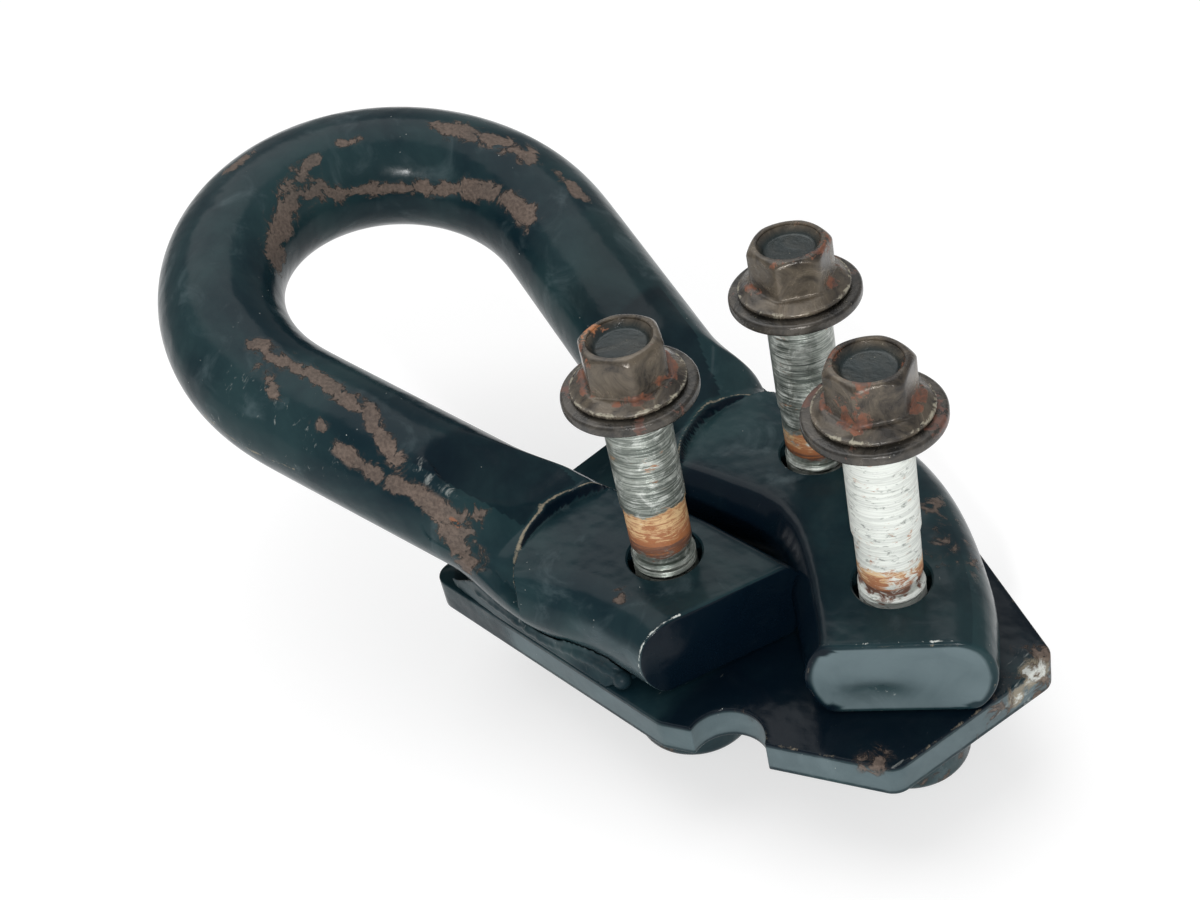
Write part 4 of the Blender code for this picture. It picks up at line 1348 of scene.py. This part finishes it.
@dataclass
class BasePlate:
    """The sheared steel plate under the pads, with a half-round notch in its front edge."""

    top: float = -0.0198
    thickness: float = 0.0080
    corner: float = 0.0045
    corner_steps: int = 12
    rear_x: float = 0.1020
    left_y: float = 0.0397
    right_y: float = -0.0490
    front_left_x: float = 0.0265
    front_right_x: float = 0.0235
    nose_left: Place = (-0.0205, 0.0199)
    nose_right: Place = (-0.0272, -0.0230)
    notch: Place = (0.0120, 0.0346)
    notch_radius: float = 0.0082
    edge: float = 0.0006
    edge_bend: float = 40.0
    tool_reach: float = 0.0150
    tool_steps: int = 64
    finest: float = 0.0017

    def outline(self) -> np.ndarray:
        """The plate's outline with its corners rounded."""
        corners = (
            (self.rear_x, self.left_y), (self.front_left_x, self.left_y), self.nose_left,
            self.nose_right, (self.front_right_x, self.right_y), (self.rear_x, self.right_y),
        )
        points = []
        for index, place in enumerate(corners):
            corner = Vector(place)
            before = (Vector(corners[index - 1]) - corner).normalized()
            after = (Vector(corners[(index + 1) % len(corners)]) - corner).normalized()
            half = before.angle(after) / 2
            start = corner + before * self.corner / math.tan(half)
            end = corner + after * self.corner / math.tan(half)
            centre = corner + (before + after).normalized() * self.corner / math.sin(half)
            sweep = (start - centre).angle_signed(end - centre)
            for step in range(self.corner_steps + 1):
                turn = Matrix.Rotation(-sweep * step / self.corner_steps, 2)
                points.append(centre + turn @ (start - centre))
        return np.array([(point.x, point.y) for point in points])

    def build(self, finishes: Finishes) -> None:
        """Makes the plate, with its holes, its notch and its broken edges."""
        outline = self.outline()
        rows = np.array([
            np.column_stack((outline, np.full(len(outline), height)))
            for height in (self.top, self.top - self.thickness)
        ])
        rounds = [(place, BOLT_HOLE_RADIUS) for place in BOLT_PLACES]
        rounds.append((self.notch, self.notch_radius))
        low, high = -self.tool_reach, self.tool_reach
        tools = [
            turned_rows(place, self.top, [(radius, low), (radius, high)], self.tool_steps)
            for place, radius in rounds
        ]
        finish = [
            ("BEVEL", {"width": self.edge, "segments": 3, "limit_method": "ANGLE",
                       "angle_limit": math.radians(self.edge_bend), "harden_normals": False}),
            ("TRIANGULATE", {}),
        ]
        mesh = cut("base_plate_steel", mesh_from_rows("base_plate_steel", rows), tools, finish)
        mesh = divided(mesh, self.finest)
        points = points_of(mesh)
        worn = self.worn(points)
        # Painted shade on the front of the plate's top, under the pads' ends; painted light on the side
        # faces.
        shade = smooth((0.034 - points[:, 0]) / 0.010) * (points[:, 2] > self.top - 0.0004)
        wear(
            mesh, rust=self.rust(points), scuff=0.22 + 0.5 * worn, grime=self.grime(points),
            dull=self.sheared(points), oil=0.80 * shade * (1.0 - worn), bare=0.62 * worn,
        )
        add_piece("base_plate_steel", mesh, finishes.paint, HOOK, "base_plate")

    def worn(self, points: np.ndarray) -> np.ndarray:
        """The corner at the front right, where the paint is gone."""
        spots = ((-0.0262, -0.0180, self.top - 0.001, 0.0058), (-0.0275, -0.0120, self.top - 0.003, 0.0050))
        return patches(points, spots, 1.0)

    def rust(self, points: np.ndarray) -> np.ndarray:
        """Rust round the worn corner and in spots along the front edge."""
        spots = (
            (-0.0255, -0.0200, self.top - 0.002, 0.0065), (-0.0276, -0.0070, self.top - 0.003, 0.0060),
            (-0.0150, 0.0205, self.top, 0.0030), (0.0135, 0.0300, self.top, 0.0030),
        )
        return patches(points, spots, 0.56)

    def sheared(self, points: np.ndarray) -> np.ndarray:
        """The sheared side faces, painted lighter grey: thin paint together with painted light on faces
        turned to the lamp.
        """
        depth = self.top - points[:, 2]
        inside = smooth((depth - self.edge) / 0.0008) * smooth((self.thickness - self.edge - depth) / 0.0008)
        holes = np.min([np.hypot(points[:, 0] - x, points[:, 1] - y) for x, y in BOLT_PLACES], axis=0)
        # The painted light is weaker towards the rear, away from the lamp.
        rear = smooth((points[:, 0] - 0.070) / 0.012)
        return (0.72 - 0.50 * rear) * inside * (holes > 0.012)

    def grime(self, points: np.ndarray) -> np.ndarray:
        """Pale dirt along the plate's upper edge at the front, and bare metal at the worn corner."""
        high = bell((points[:, 2] - self.top) / 0.0006)
        line = 0.52 * high * smooth((0.030 - points[:, 0]) / 0.02) * self.rim(points)
        return np.maximum(line, 0.92 * self.worn(points))

    def rim(self, points: np.ndarray) -> np.ndarray:
        """1 at the plate's outline and 0 further in."""
        x, y = points[:, 0], points[:, 1]
        outline = self.outline()
        gap = np.abs(np.hypot(x - self.notch[0], y - self.notch[1]) - self.notch_radius)
        for (ax, ay), (bx, by) in zip(outline, np.roll(outline, -1, axis=0)):
            dx, dy = bx - ax, by - ay
            share = ((x - ax) * dx + (y - ay) * dy) / max(dx * dx + dy * dy, 1e-12)
            share = np.clip(share, 0.0, 1.0)
            gap = np.minimum(gap, np.hypot(x - ax - share * dx, y - ay - share * dy))
        return bell(gap / 0.0011)


@dataclass
class WeldBead:
    """A hollow fillet weld between the outer side of one leg and the plate, ended by a small drop.

    Angles are counted round the bar, from its outer side downwards.
    """

    leg: float = 0.0026
    pitch: float = 0.0019
    bead: float = 0.0023
    drop: float = 0.0021
    hollow: float = 0.10
    voxel: float = 0.00030
    top_angle: float = 14.0
    rear_lowering: float = 12.0
    end_lowering: float = 10.0
    foot_angle: float = 38.0
    least_sweep: float = 8.0
    contact: int = 7
    end_taper: float = 0.0060
    end_round: float = 0.0045
    end_size: float = 0.12
    run_out: float = 0.0110
    run_out_size: float = 0.30
    rippled: float = 0.80
    thinnest: float = 0.0010

    def toe(self, loop: ForgedLoop, plate: BasePlate, index: int, ends: float, is_left: bool) -> np.ndarray:
        """Where the weld ends on the plate beside a station, short of the plate's rounded corner.

        Args:
            loop: The bar beside the weld.
            plate: The plate under it.
            index: The station.
            ends: 0 at the weld's ends and 1 between them.
            is_left: True for the left leg.

        Returns:
            The point.
        """
        centre = loop.route[index]
        wave = 1.0 + 0.10 * math.sin(centre[0] * 640.0) + 0.06 * math.sin(centre[0] * 1480.0 + 1.0)
        toe = centre - loop.side[index] * (loop.half_width[index] + self.leg * (0.4 + 0.6 * ends) * wave)
        edge, outwards = (plate.left_y, 1.0) if is_left else (plate.right_y, -1.0)
        corner = plate.corner * 1.6
        rounding = smooth((toe[0] - (plate.rear_x - corner)) / corner)
        limit = edge - outwards * plate.corner * 0.6 * rounding ** 2
        if (toe[1] - limit) * outwards > 0.0:
            toe[1] = limit
        toe[2] = plate.top + CLEARANCE
        return toe

    def section(self, loop: ForgedLoop, index: int, toe: np.ndarray, ends: float) -> list[np.ndarray]:
        """One section of the weld: down the bar's side, out to the toe and back over the hollow face.

        Args:
            loop: The bar beside the weld.
            index: The station.
            toe: Where the section ends on the plate.
            ends: 0 at the weld's ends and 1 between them.

        Returns:
            The section's points.
        """
        side, up, centre = loop.side[index], loop.up[index], loop.route[index]
        width, height = loop.half_width[index] + CLEARANCE, loop.bar_radius + CLEARANCE
        reach = float(np.dot(centre - toe, side))
        lowest_top = math.degrees(math.acos(min((reach - self.thinnest) / width, 1.0)))
        rear = smooth((centre[0] - 0.064) / 0.012)
        start = self.top_angle + self.rear_lowering * rear + self.end_lowering * (1.0 - ends)
        start = max(start, lowest_top)
        ring = []
        for degrees in np.linspace(start, max(self.foot_angle, start + self.least_sweep), self.contact):
            angle = math.radians(degrees)
            ring.append(centre - side * width * math.cos(angle) - up * height * math.sin(angle))
        ring[-1][2] = toe[2]
        ring.append(toe)
        top = ring[0]
        hollow = self.hollow * smooth((reach - width) / self.leg)
        for share in (0.2, 0.4, 0.6, 0.8):
            sag = np.linalg.norm(top - toe) * hollow * math.sin(math.pi * share)
            ring.append(toe + (top - toe) * share + side * sag + np.array((0.0, 0.0, -sag * 0.4)))
        return ring

    def sections(self, loop: ForgedLoop, plate: BasePlate, span: Place,
                 is_left: bool) -> tuple[np.ndarray, np.ndarray]:
        """The weld's sections and the path that its ripples follow.

        Args:
            loop: The bar beside the weld.
            plate: The plate under it.
            span: Where it starts at the rear and ends at the front.
            is_left: True for the left leg.

        Returns:
            The sections, from the rear to the front or the other way, and the path's points.
        """
        x = loop.route[:, 0]
        on_leg = (np.arange(loop.stations) < loop.middle) == is_left
        rows, path = [], []
        for index in np.flatnonzero(on_leg & (x >= span[1]) & (x <= span[0])):
            near = min(span[0] - x[index], x[index] - span[1])
            ends = smooth(near / self.end_taper)
            toe = self.toe(loop, plate, index, ends, is_left)
            ring = self.section(loop, index, toe, ends)
            rounding = math.sqrt(max(1.0 - (1.0 - min(near / self.end_round, 1.0)) ** 2, 0.0))
            run_out = smooth((span[0] - x[index]) / self.run_out)
            size = min(
                self.end_size + (1.0 - self.end_size) * rounding,
                self.run_out_size + (1.0 - self.run_out_size) * run_out,
            )
            foot = ring[self.contact - 1]
            rows.append([foot + (point - foot) * size for point in ring])
            if size > self.rippled:
                path.append(toe * 0.5 + ring[0] * 0.5 + loop.side[index] * self.bead * 0.34)
        return np.array(rows), np.array(path)

    def build(self, name: str, node: str, loop: ForgedLoop, plate: BasePlate, span: Place,
              is_left: bool, ripples: GeometryTree, finishes: Finishes) -> None:
        """Makes one weld.

        Args:
            name: The piece's name.
            node: The CAD node that it stands for.
            loop: The bar beside it.
            plate: The plate under it.
            span: Where it starts at the rear and ends at the front.
            is_left: True for the left leg.
            ripples: The tree that lays the ripples.
            finishes: The hook's finishes.
        """
        rows, path = self.sections(loop, plate, span, is_left)
        core = mesh_from_rows(name + "_core", rows)
        beads = ripples.run(name + "_ripples", path_mesh(name + "_path", path), {
            "Pitch": self.pitch, "Width": self.bead, "Seed": 7 + is_left, "Material": finishes.weld,
        })
        front = path[0] if path[0][0] < path[-1][0] else path[-1]
        turn = np.linspace(-math.pi / 2, math.pi / 2, 12)
        ball = [(self.drop * math.cos(t) + 0.00001, self.drop * math.sin(t)) for t in turn]
        middle = front + np.array((-0.0006, 0.0004 if is_left else -0.0004, 0.0))
        drop = turned_rows((middle[0], middle[1]), middle[2] - 0.0006, ball, 24)
        end = mesh_from_rows(name + "_drop", drop)
        mesh = fused(name, [core, beads, end], self.voxel)
        points = points_of(mesh)
        points[:, 2] = np.maximum(points[:, 2], plate.top + CLEARANCE)
        move_points(mesh, points)
        wear(mesh, rust=0.06, scuff=0.30, grime=0.20, dull=0.30)
        add_piece(name, mesh, finishes.weld, HOOK, node, 60.0)


@dataclass
class WeldBoss:
    """A round boss with a bore, welded under the plate."""

    diameter: float = 0.0272
    height: float = 0.0225
    rounding: float = 0.0025
    bore: float = 0.0070
    bore_edge: float = 0.0008
    edge: float = 0.0006
    ring_leg: float = 0.0030
    pitch: float = 0.0017
    voxel: float = 0.0004

    def build(self, number: int, place: Place, ripples: GeometryTree, finishes: Finishes) -> None:
        """Makes the boss and its ring weld."""
        outer = self.diameter / 2
        profile = [(self.bore, 0.0), (outer - self.edge, 0.0)]
        profile += rounded_corner((outer - self.edge, -self.edge), self.edge, 90.0, 0.0)
        profile += rounded_corner(
            (outer - self.rounding, -self.height + self.rounding), self.rounding, 0.0, -90.0, 10
        )
        profile += [(self.bore + self.bore_edge, -self.height), (self.bore, -self.height + self.bore_edge)]
        name = f"boss_{number}_turned"
        mesh = mesh_from_rows(name, turned_rows(place, BOSS_SEAT_Z, profile), closed=True)
        wear(mesh, rust=0.18, scuff=0.26, grime=0.20, dull=0.35)
        add_piece(name, mesh, finishes.paint, HOOK, f"weld_boss_{number}")
        self.build_ring(number, place, ripples, finishes)

    def build_ring(self, number: int, place: Place, ripples: GeometryTree, finishes: Finishes) -> None:
        """Makes the rippled fillet round the boss."""
        inner, leg = self.diameter / 2 + CLEARANCE, self.ring_leg
        profile = [(inner, 0.0), (inner + leg, 0.0), (inner, -leg)]
        core = mesh_from_rows("ring_core", turned_rows(place, BOSS_SEAT_Z, profile), closed=True)
        circle = turned_rows(place, BOSS_SEAT_Z, [(inner + leg * 0.42, -leg * 0.42)])[0]
        beads = ripples.run(f"ring_ripples_{number}", path_mesh("ring_path", circle, closed=True), {
            "Pitch": self.pitch, "Width": leg * 0.9, "Seed": 20 + number, "Material": finishes.weld,
        })
        name = f"ring_weld_bead_{number}"
        mesh = fused(name, [core, beads], self.voxel)
        points = points_of(mesh)
        points[:, 2] = np.minimum(points[:, 2], BOSS_SEAT_Z)
        move_points(mesh, points)
        wear(mesh, rust=0.16, scuff=0.25, grime=0.22, dull=0.30)
        add_piece(name, mesh, finishes.weld, HOOK, f"ring_weld_{number}", 60.0)


@dataclass(frozen=True)
class BoltSetting:
    """Where one bolt stands, how it is turned and how it has weathered.

    The rise is its washer's height above the pads, the corner is the direction of one of the head's
    corners, and the rust lies in a band with a middle height and a reach up and down.
    """

    number: int
    place: Place
    rise: float
    corner: float
    bloom: float
    rust: float
    rust_middle: float
    rust_reach: float


@dataclass
class FlangeBolt:
    """A flange bolt with a dished hexagon head, its captive washer, and a rolled thread."""

    shank: float = 0.0070
    thread: float = 0.0069
    neck: float = 0.0066
    length: float = 0.0850
    thread_length: float = 0.0430
    neck_length: float = 0.0112
    tip: float = 0.0015
    pitch: float = 0.0020
    root_depth: float = 0.00105
    hex_width: float = 0.0160
    hex_height: float = 0.0087
    hex_round: float = 0.0009
    dish: float = 0.0069
    dish_depth: float = 0.0020
    dish_fillet: float = 0.0008
    dish_rim: float = 0.0003
    dish_lip: float = 0.0007
    flange: float = 0.0119
    flange_rim: float = 0.0011
    flange_height: float = 0.0026
    washer: float = 0.01405
    washer_thickness: float = 0.0026
    washer_edge: float = 0.0008
    washer_bore_edge: float = 0.0003
    steps: int = 120

    def hexagon(self, angle: np.ndarray, corner: float) -> np.ndarray:
        """The hexagon's radius in each direction, with its corners rounded off."""
        sixth = np.pi / 6
        local = sixth - np.abs((angle - corner + sixth) % (2 * sixth) - sixth)
        sharp = self.hex_width / 2 / np.cos(local)
        limit = np.full_like(sharp, self.hex_width / 2 / math.cos(sixth) - 0.00015)
        return soft_min(sharp, limit, 0.0006)

    def head_rows(self, corner: float) -> list[np.ndarray]:
        """Rings of the head, from the dish's middle down to the flange's underside.

        Args:
            corner: The direction of one of the hexagon's corners, in radians.

        Returns:
            The rings, about the bolt's own axis and from its flange's underside.
        """
        angle = np.linspace(0.0, 2 * np.pi, self.steps + 1)[:-1]
        hexagon = self.hexagon(angle, corner)
        flat = self.hex_width / 2
        top = self.flange_height + self.hex_height
        rings = []

        def ring(radius: np.ndarray | float, height: np.ndarray | float) -> None:
            """Adds a ring of given radius and height."""
            wide = np.broadcast_to(radius, angle.shape)
            tall = np.broadcast_to(height, angle.shape)
            rings.append(np.stack((wide * np.cos(angle), wide * np.sin(angle), tall), axis=-1))

        floor, bottom = (self.dish - self.dish_depth * 0.75) * 0.9, top - self.dish_depth
        for share in (0.02, 0.35, 0.7):
            ring(floor * share, bottom - 0.0001 * (1 - share))
        for turn in np.radians(np.linspace(0.0, 50.0, 6)):
            ring(floor + self.dish_fillet * math.sin(turn), bottom + self.dish_fillet * (1 - math.cos(turn)))
        lip = self.dish - self.dish_rim
        ring(lip, top - 0.0005)
        for turn in np.radians(np.linspace(50.0, 90.0, 5)):
            ring(lip + self.dish_lip * (math.sin(turn) - 0.75), top - self.dish_lip * (1 - math.sin(turn)))
        inner = self.dish + self.dish_rim
        fall = (hexagon - flat) * 0.80
        for turn in np.linspace(0.0, math.pi / 2, 8):
            drop = self.hex_round * (1 - math.cos(turn)) + fall * math.sin(turn) ** 2
            ring(inner + (hexagon - inner) * math.sin(turn), top - drop)
        side, foot = top - self.hex_round - fall, self.flange_height - 0.0002
        for share in (0.25, 0.5, 0.75, 0.92):
            ring(hexagon, side + (foot - side) * share)
        for turn in np.linspace(0.0, math.pi / 2, 7)[1:]:
            wide = hexagon + self.hex_round * (1 - math.cos(turn))
            ring(wide, foot + 0.0006 * (1 - math.sin(turn)) - 0.0001)
        start, edge = np.maximum(hexagon + self.hex_round, flat + 0.0012), self.flange - 0.0006
        for share in (0.3, 0.6, 0.9, 1.0):
            ring(start + (edge - start) * share, foot - 0.0001 + (self.flange_rim - foot + 0.0001) * share)
        half = self.flange_rim / 2
        for turn in np.radians(np.linspace(70.0, -90.0, 7))[1:]:
            ring(self.flange - half + half * math.cos(turn), half + half * math.sin(turn))
        ring(self.shank + 0.0010, 0.0)
        return rings

    def shank_profile(self) -> list[Place]:
        """Radius and height of the rings from under the head to the tip."""
        neck_top = -(self.length - self.thread_length - self.neck_length)
        thread_top = neck_top - self.neck_length
        root = self.thread - self.root_depth
        profile = [(self.shank + 0.0004, -0.0002), (self.shank, -0.0010)]
        profile += [(self.shank, (neck_top + 0.0014) * share) for share in np.linspace(0.04, 1.0, 24)]
        profile += [(self.shank - 0.0001, neck_top + 0.0009), (self.neck, neck_top)]
        for share in (0.25, 0.5, 0.75, 1.0):
            profile.append((self.neck, neck_top - self.neck_length * share * 0.92))
        profile.append((root, thread_top - 0.0004))
        run = -self.length + self.tip - thread_top
        profile += [(root, thread_top + run * share) for share in np.linspace(0.03, 1.0, 30)]
        profile += [(root - 0.0006, -self.length + 0.0004), (root - 0.0012, -self.length)]
        profile.append((0.0004, -self.length))
        return profile

    def build(self, setting: BoltSetting, threads: GeometryTree, finishes: Finishes) -> None:
        """Makes one bolt and its washer.

        Args:
            setting: The bolt's number, place and weathering.
            threads: The tree that winds the thread.
            finishes: The hook's finishes.
        """
        node = f"bolt_{setting.number}"
        name = f"{node}_turned"
        seat = setting.rise + self.washer_thickness + CLEARANCE
        base = np.array((*setting.place, seat))
        head = self.head_rows(math.radians(setting.corner))
        body = turned_rows((0.0, 0.0), 0.0, self.shank_profile(), self.steps)
        mesh = mesh_from_rows(name, np.concatenate((head, body)) + base)
        mesh.materials.append(finishes.head)
        mesh.materials.append(finishes.zinc)
        below = [polygon.center.z < seat - 0.00005 for polygon in mesh.polygons]
        mesh.polygons.foreach_set("material_index", np.array(below, dtype=np.int32))
        self.weather(mesh, base, setting)
        add_piece(name, mesh, finishes.head, node, node, 32.0)
        self.build_thread(base, setting, threads, finishes)
        self.build_washer(setting, finishes)

    def build_thread(self, base: np.ndarray, setting: BoltSetting, threads: GeometryTree,
                     finishes: Finishes) -> None:
        """Winds the thread's ridge round the bolt."""
        name = f"thread_{setting.number}"
        run = self.thread_length - self.tip * 1.4
        ridge = self.pitch * 0.47
        mesh = threads.run(name, bpy.data.meshes.new("thread_carrier"), {
            "Turns": run / self.pitch, "Root radius": self.thread - ridge * 0.98, "Length": run,
            "Ridge radius": ridge, "Material": finishes.zinc,
        })
        foot = base + np.array((0.0, 0.0, -self.length + self.tip * 0.8))
        move_points(mesh, points_of(mesh) - SEAT + foot)
        self.weather(mesh, base, setting)
        add_piece(name, mesh, finishes.zinc, f"bolt_{setting.number}", None, 35.0)

    def weather(self, mesh: bpy.types.Mesh, base: np.ndarray, setting: BoltSetting) -> None:
        """Paints rust, bloom and dirt on a bolt's points, and painted shade in the thread's valleys."""
        x, y, z = (points_of(mesh) - base).T
        radius = np.hypot(x, y)
        head, above_pads = z > -0.00005, z + base[2]
        head_top, on_flange = self.flange_height + self.hex_height, radius < self.flange - 0.0015
        band = bell(((above_pads - setting.rust_middle) / setting.rust_reach) ** 2)
        deep = smooth((setting.rust_middle + 0.001 - above_pads) / (setting.rust_reach * 1.2))
        root = bell((z - self.flange_height) / 0.0020) * on_flange
        top = (z > head_top - 0.0022) * (radius > self.dish - 0.001)
        dish = (z > head_top - self.dish_depth - 0.0004) * (radius < self.dish - 0.0006)
        back = smooth((x * 0.81 - y * 0.58 + 0.0005) / 0.004) * top
        rim = bell((radius - self.flange + 0.0003) / 0.0004)
        corner = bell((z - self.flange_height - 0.0004) / 0.0004) * on_flange
        threaded = z < -(self.length - self.thread_length)
        paint(
            mesh,
            rust=np.where(head, 0.10 + 0.40 * root + 0.24 * top, setting.rust * band + 0.05),
            teal=dish,
            orange=back * (0.9 if setting.number < 3 else 0.0),
            deep=np.where(head, 0.0, deep),
            grime=np.where(head, 0.16 + 0.50 * rim + 0.20 * corner, 0.0),
            bloom=np.where(head, 0.0, setting.bloom),
            # Painted shade in the thread's valleys, where the radius is smallest.
            root=np.clip((self.thread - 0.0003 - radius) / 0.0006, 0.0, 1.0) * threaded,
        )

    def build_washer(self, setting: BoltSetting, finishes: Finishes) -> None:
        """Makes the captive washer."""
        node = f"washer_{setting.number}"
        name = f"{node}_pressed"
        inner, bevel = self.shank + CLEARANCE, self.washer_bore_edge
        thick, edge = self.washer_thickness, self.washer_edge
        profile = [(inner, thick - bevel), (inner + bevel, thick)]
        profile += rounded_corner((self.washer - edge, thick - edge), edge, 90.0, 0.0)
        profile += rounded_corner((self.washer - edge, edge), edge, 0.0, -90.0)
        profile += [(inner + bevel, 0.0), (inner, bevel)]
        mesh = mesh_from_rows(name, turned_rows(setting.place, setting.rise, profile), closed=True)
        x, y, z = (points_of(mesh) - np.array((*setting.place, setting.rise))).T
        rim = bell((np.hypot(x, y) - self.flange - 0.0005) / 0.0005) * (z > thick / 2)
        paint(mesh, rust=0.30, teal=0.0, orange=0.0, grime=0.16 + 0.34 * rim)
        add_piece(name, mesh, finishes.washer, node, node)


@dataclass
class Studio:
    """The floor, the lights and the camera."""

    floor_z: float = -0.0506
    eye: Colour = (-0.20625, 0.20854, 0.25942)
    right: Colour = (-0.68163, -0.71031, -0.17563)
    down: Colour = (-0.35913, 0.53391, -0.76549)
    forward: Colour = (0.63750, -0.45871, -0.61901)
    lens: float = 54.65
    air: Colour = (0.46, 0.46, 0.46)

    def build_camera(self) -> None:
        """Makes the camera at the photograph's view."""
        camera = bpy.data.cameras.new("camera")
        camera.lens = self.lens
        camera.sensor_width = 36.0
        camera.clip_start = 0.01
        holder = linked("camera", camera)
        turn = Matrix((Vector(self.right), -Vector(self.down), -Vector(self.forward))).transposed().to_4x4()
        holder.matrix_world = Matrix.Translation(self.eye) @ turn
        bpy.context.scene.camera = holder

    def build_floor(self, material: bpy.types.Material) -> None:
        """Makes the floor."""
        shape = bmesh.new()
        bmesh.ops.create_grid(shape, x_segments=8, y_segments=8, size=3.0)
        mesh = bpy.data.meshes.new("floor")
        shape.to_mesh(mesh)
        shape.free()
        mesh.materials.append(material)
        floor = linked("floor", mesh)
        floor.location = (0.0, 0.0, self.floor_z)

    def build_light(self, name: str, place: Colour, size: float, power: float) -> None:
        """Makes a soft area light that faces the hook."""
        lamp = bpy.data.lights.new(name, "AREA")
        lamp.shape = "DISK"
        lamp.size = size
        lamp.energy = power
        holder = linked(name, lamp)
        holder.location = place
        aim = Vector((0.04, 0.0, 0.0)) - Vector(place)
        holder.rotation_euler = aim.to_track_quat("-Z", "Y").to_euler()

    def build_world(self) -> None:
        """Lights the surroundings softly and evenly."""
        world = bpy.data.worlds.new("studio")
        bpy.context.scene.world = world
        world.use_nodes = True
        nodes, links = world.node_tree.nodes, world.node_tree.links
        nodes.clear()
        background = nodes.new("ShaderNodeBackground")
        background.inputs["Color"].default_value = (*self.air, 1.0)
        output = nodes.new("ShaderNodeOutputWorld")
        links.new(background.outputs[0], output.inputs[0])

    def build(self, finishes: Finishes) -> None:
        """Makes the whole studio."""
        bpy.context.scene.view_settings.view_transform = "Standard"
        self.build_camera()
        self.build_floor(finishes.floor)
        self.build_world()
        self.build_light("key", (0.56, -0.12, 1.40), 1.80, 14.5)
        self.build_light("window", (-0.615, 0.577, 0.340), 0.07, 4.5)
        LOG.info("studio ready")


def main() -> None:
    """Builds the hook piece by piece, and the studio round it."""
    logging.basicConfig(level=logging.INFO, format="%(name)s: %(message)s")
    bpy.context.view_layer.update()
    finishes = Finishes()
    ripples = ripple_tree()
    threads = thread_tree()
    loop = ForgedLoop()
    loop.build(finishes)
    plate = BasePlate()
    plate.build(finishes)
    bead = WeldBead()
    bead.build("weld_left_bead", "weld_left", loop, plate, (0.0925, 0.0345), True, ripples, finishes)
    bead.build("weld_right_bead", "weld_right", loop, plate, (0.0880, 0.0240), False, ripples, finishes)
    settings = (
        BoltSetting(1, BOLT_PLACES[0], 0.0432, 26.5, 0.38, 1.00, 0.0108, 0.0062),
        BoltSetting(2, BOLT_PLACES[1], 0.0415, 52.6, 0.42, 0.80, 0.0055, 0.0036),
        BoltSetting(3, BOLT_PLACES[2], 0.0418, 53.0, 0.92, 0.62, 0.0046, 0.0042),
    )
    for setting in settings:
        WeldBoss().build(setting.number, setting.place, ripples, finishes)
        FlangeBolt().build(setting, threads, finishes)
    Studio().build(finishes)


if __name__ == "__main__":
    main()
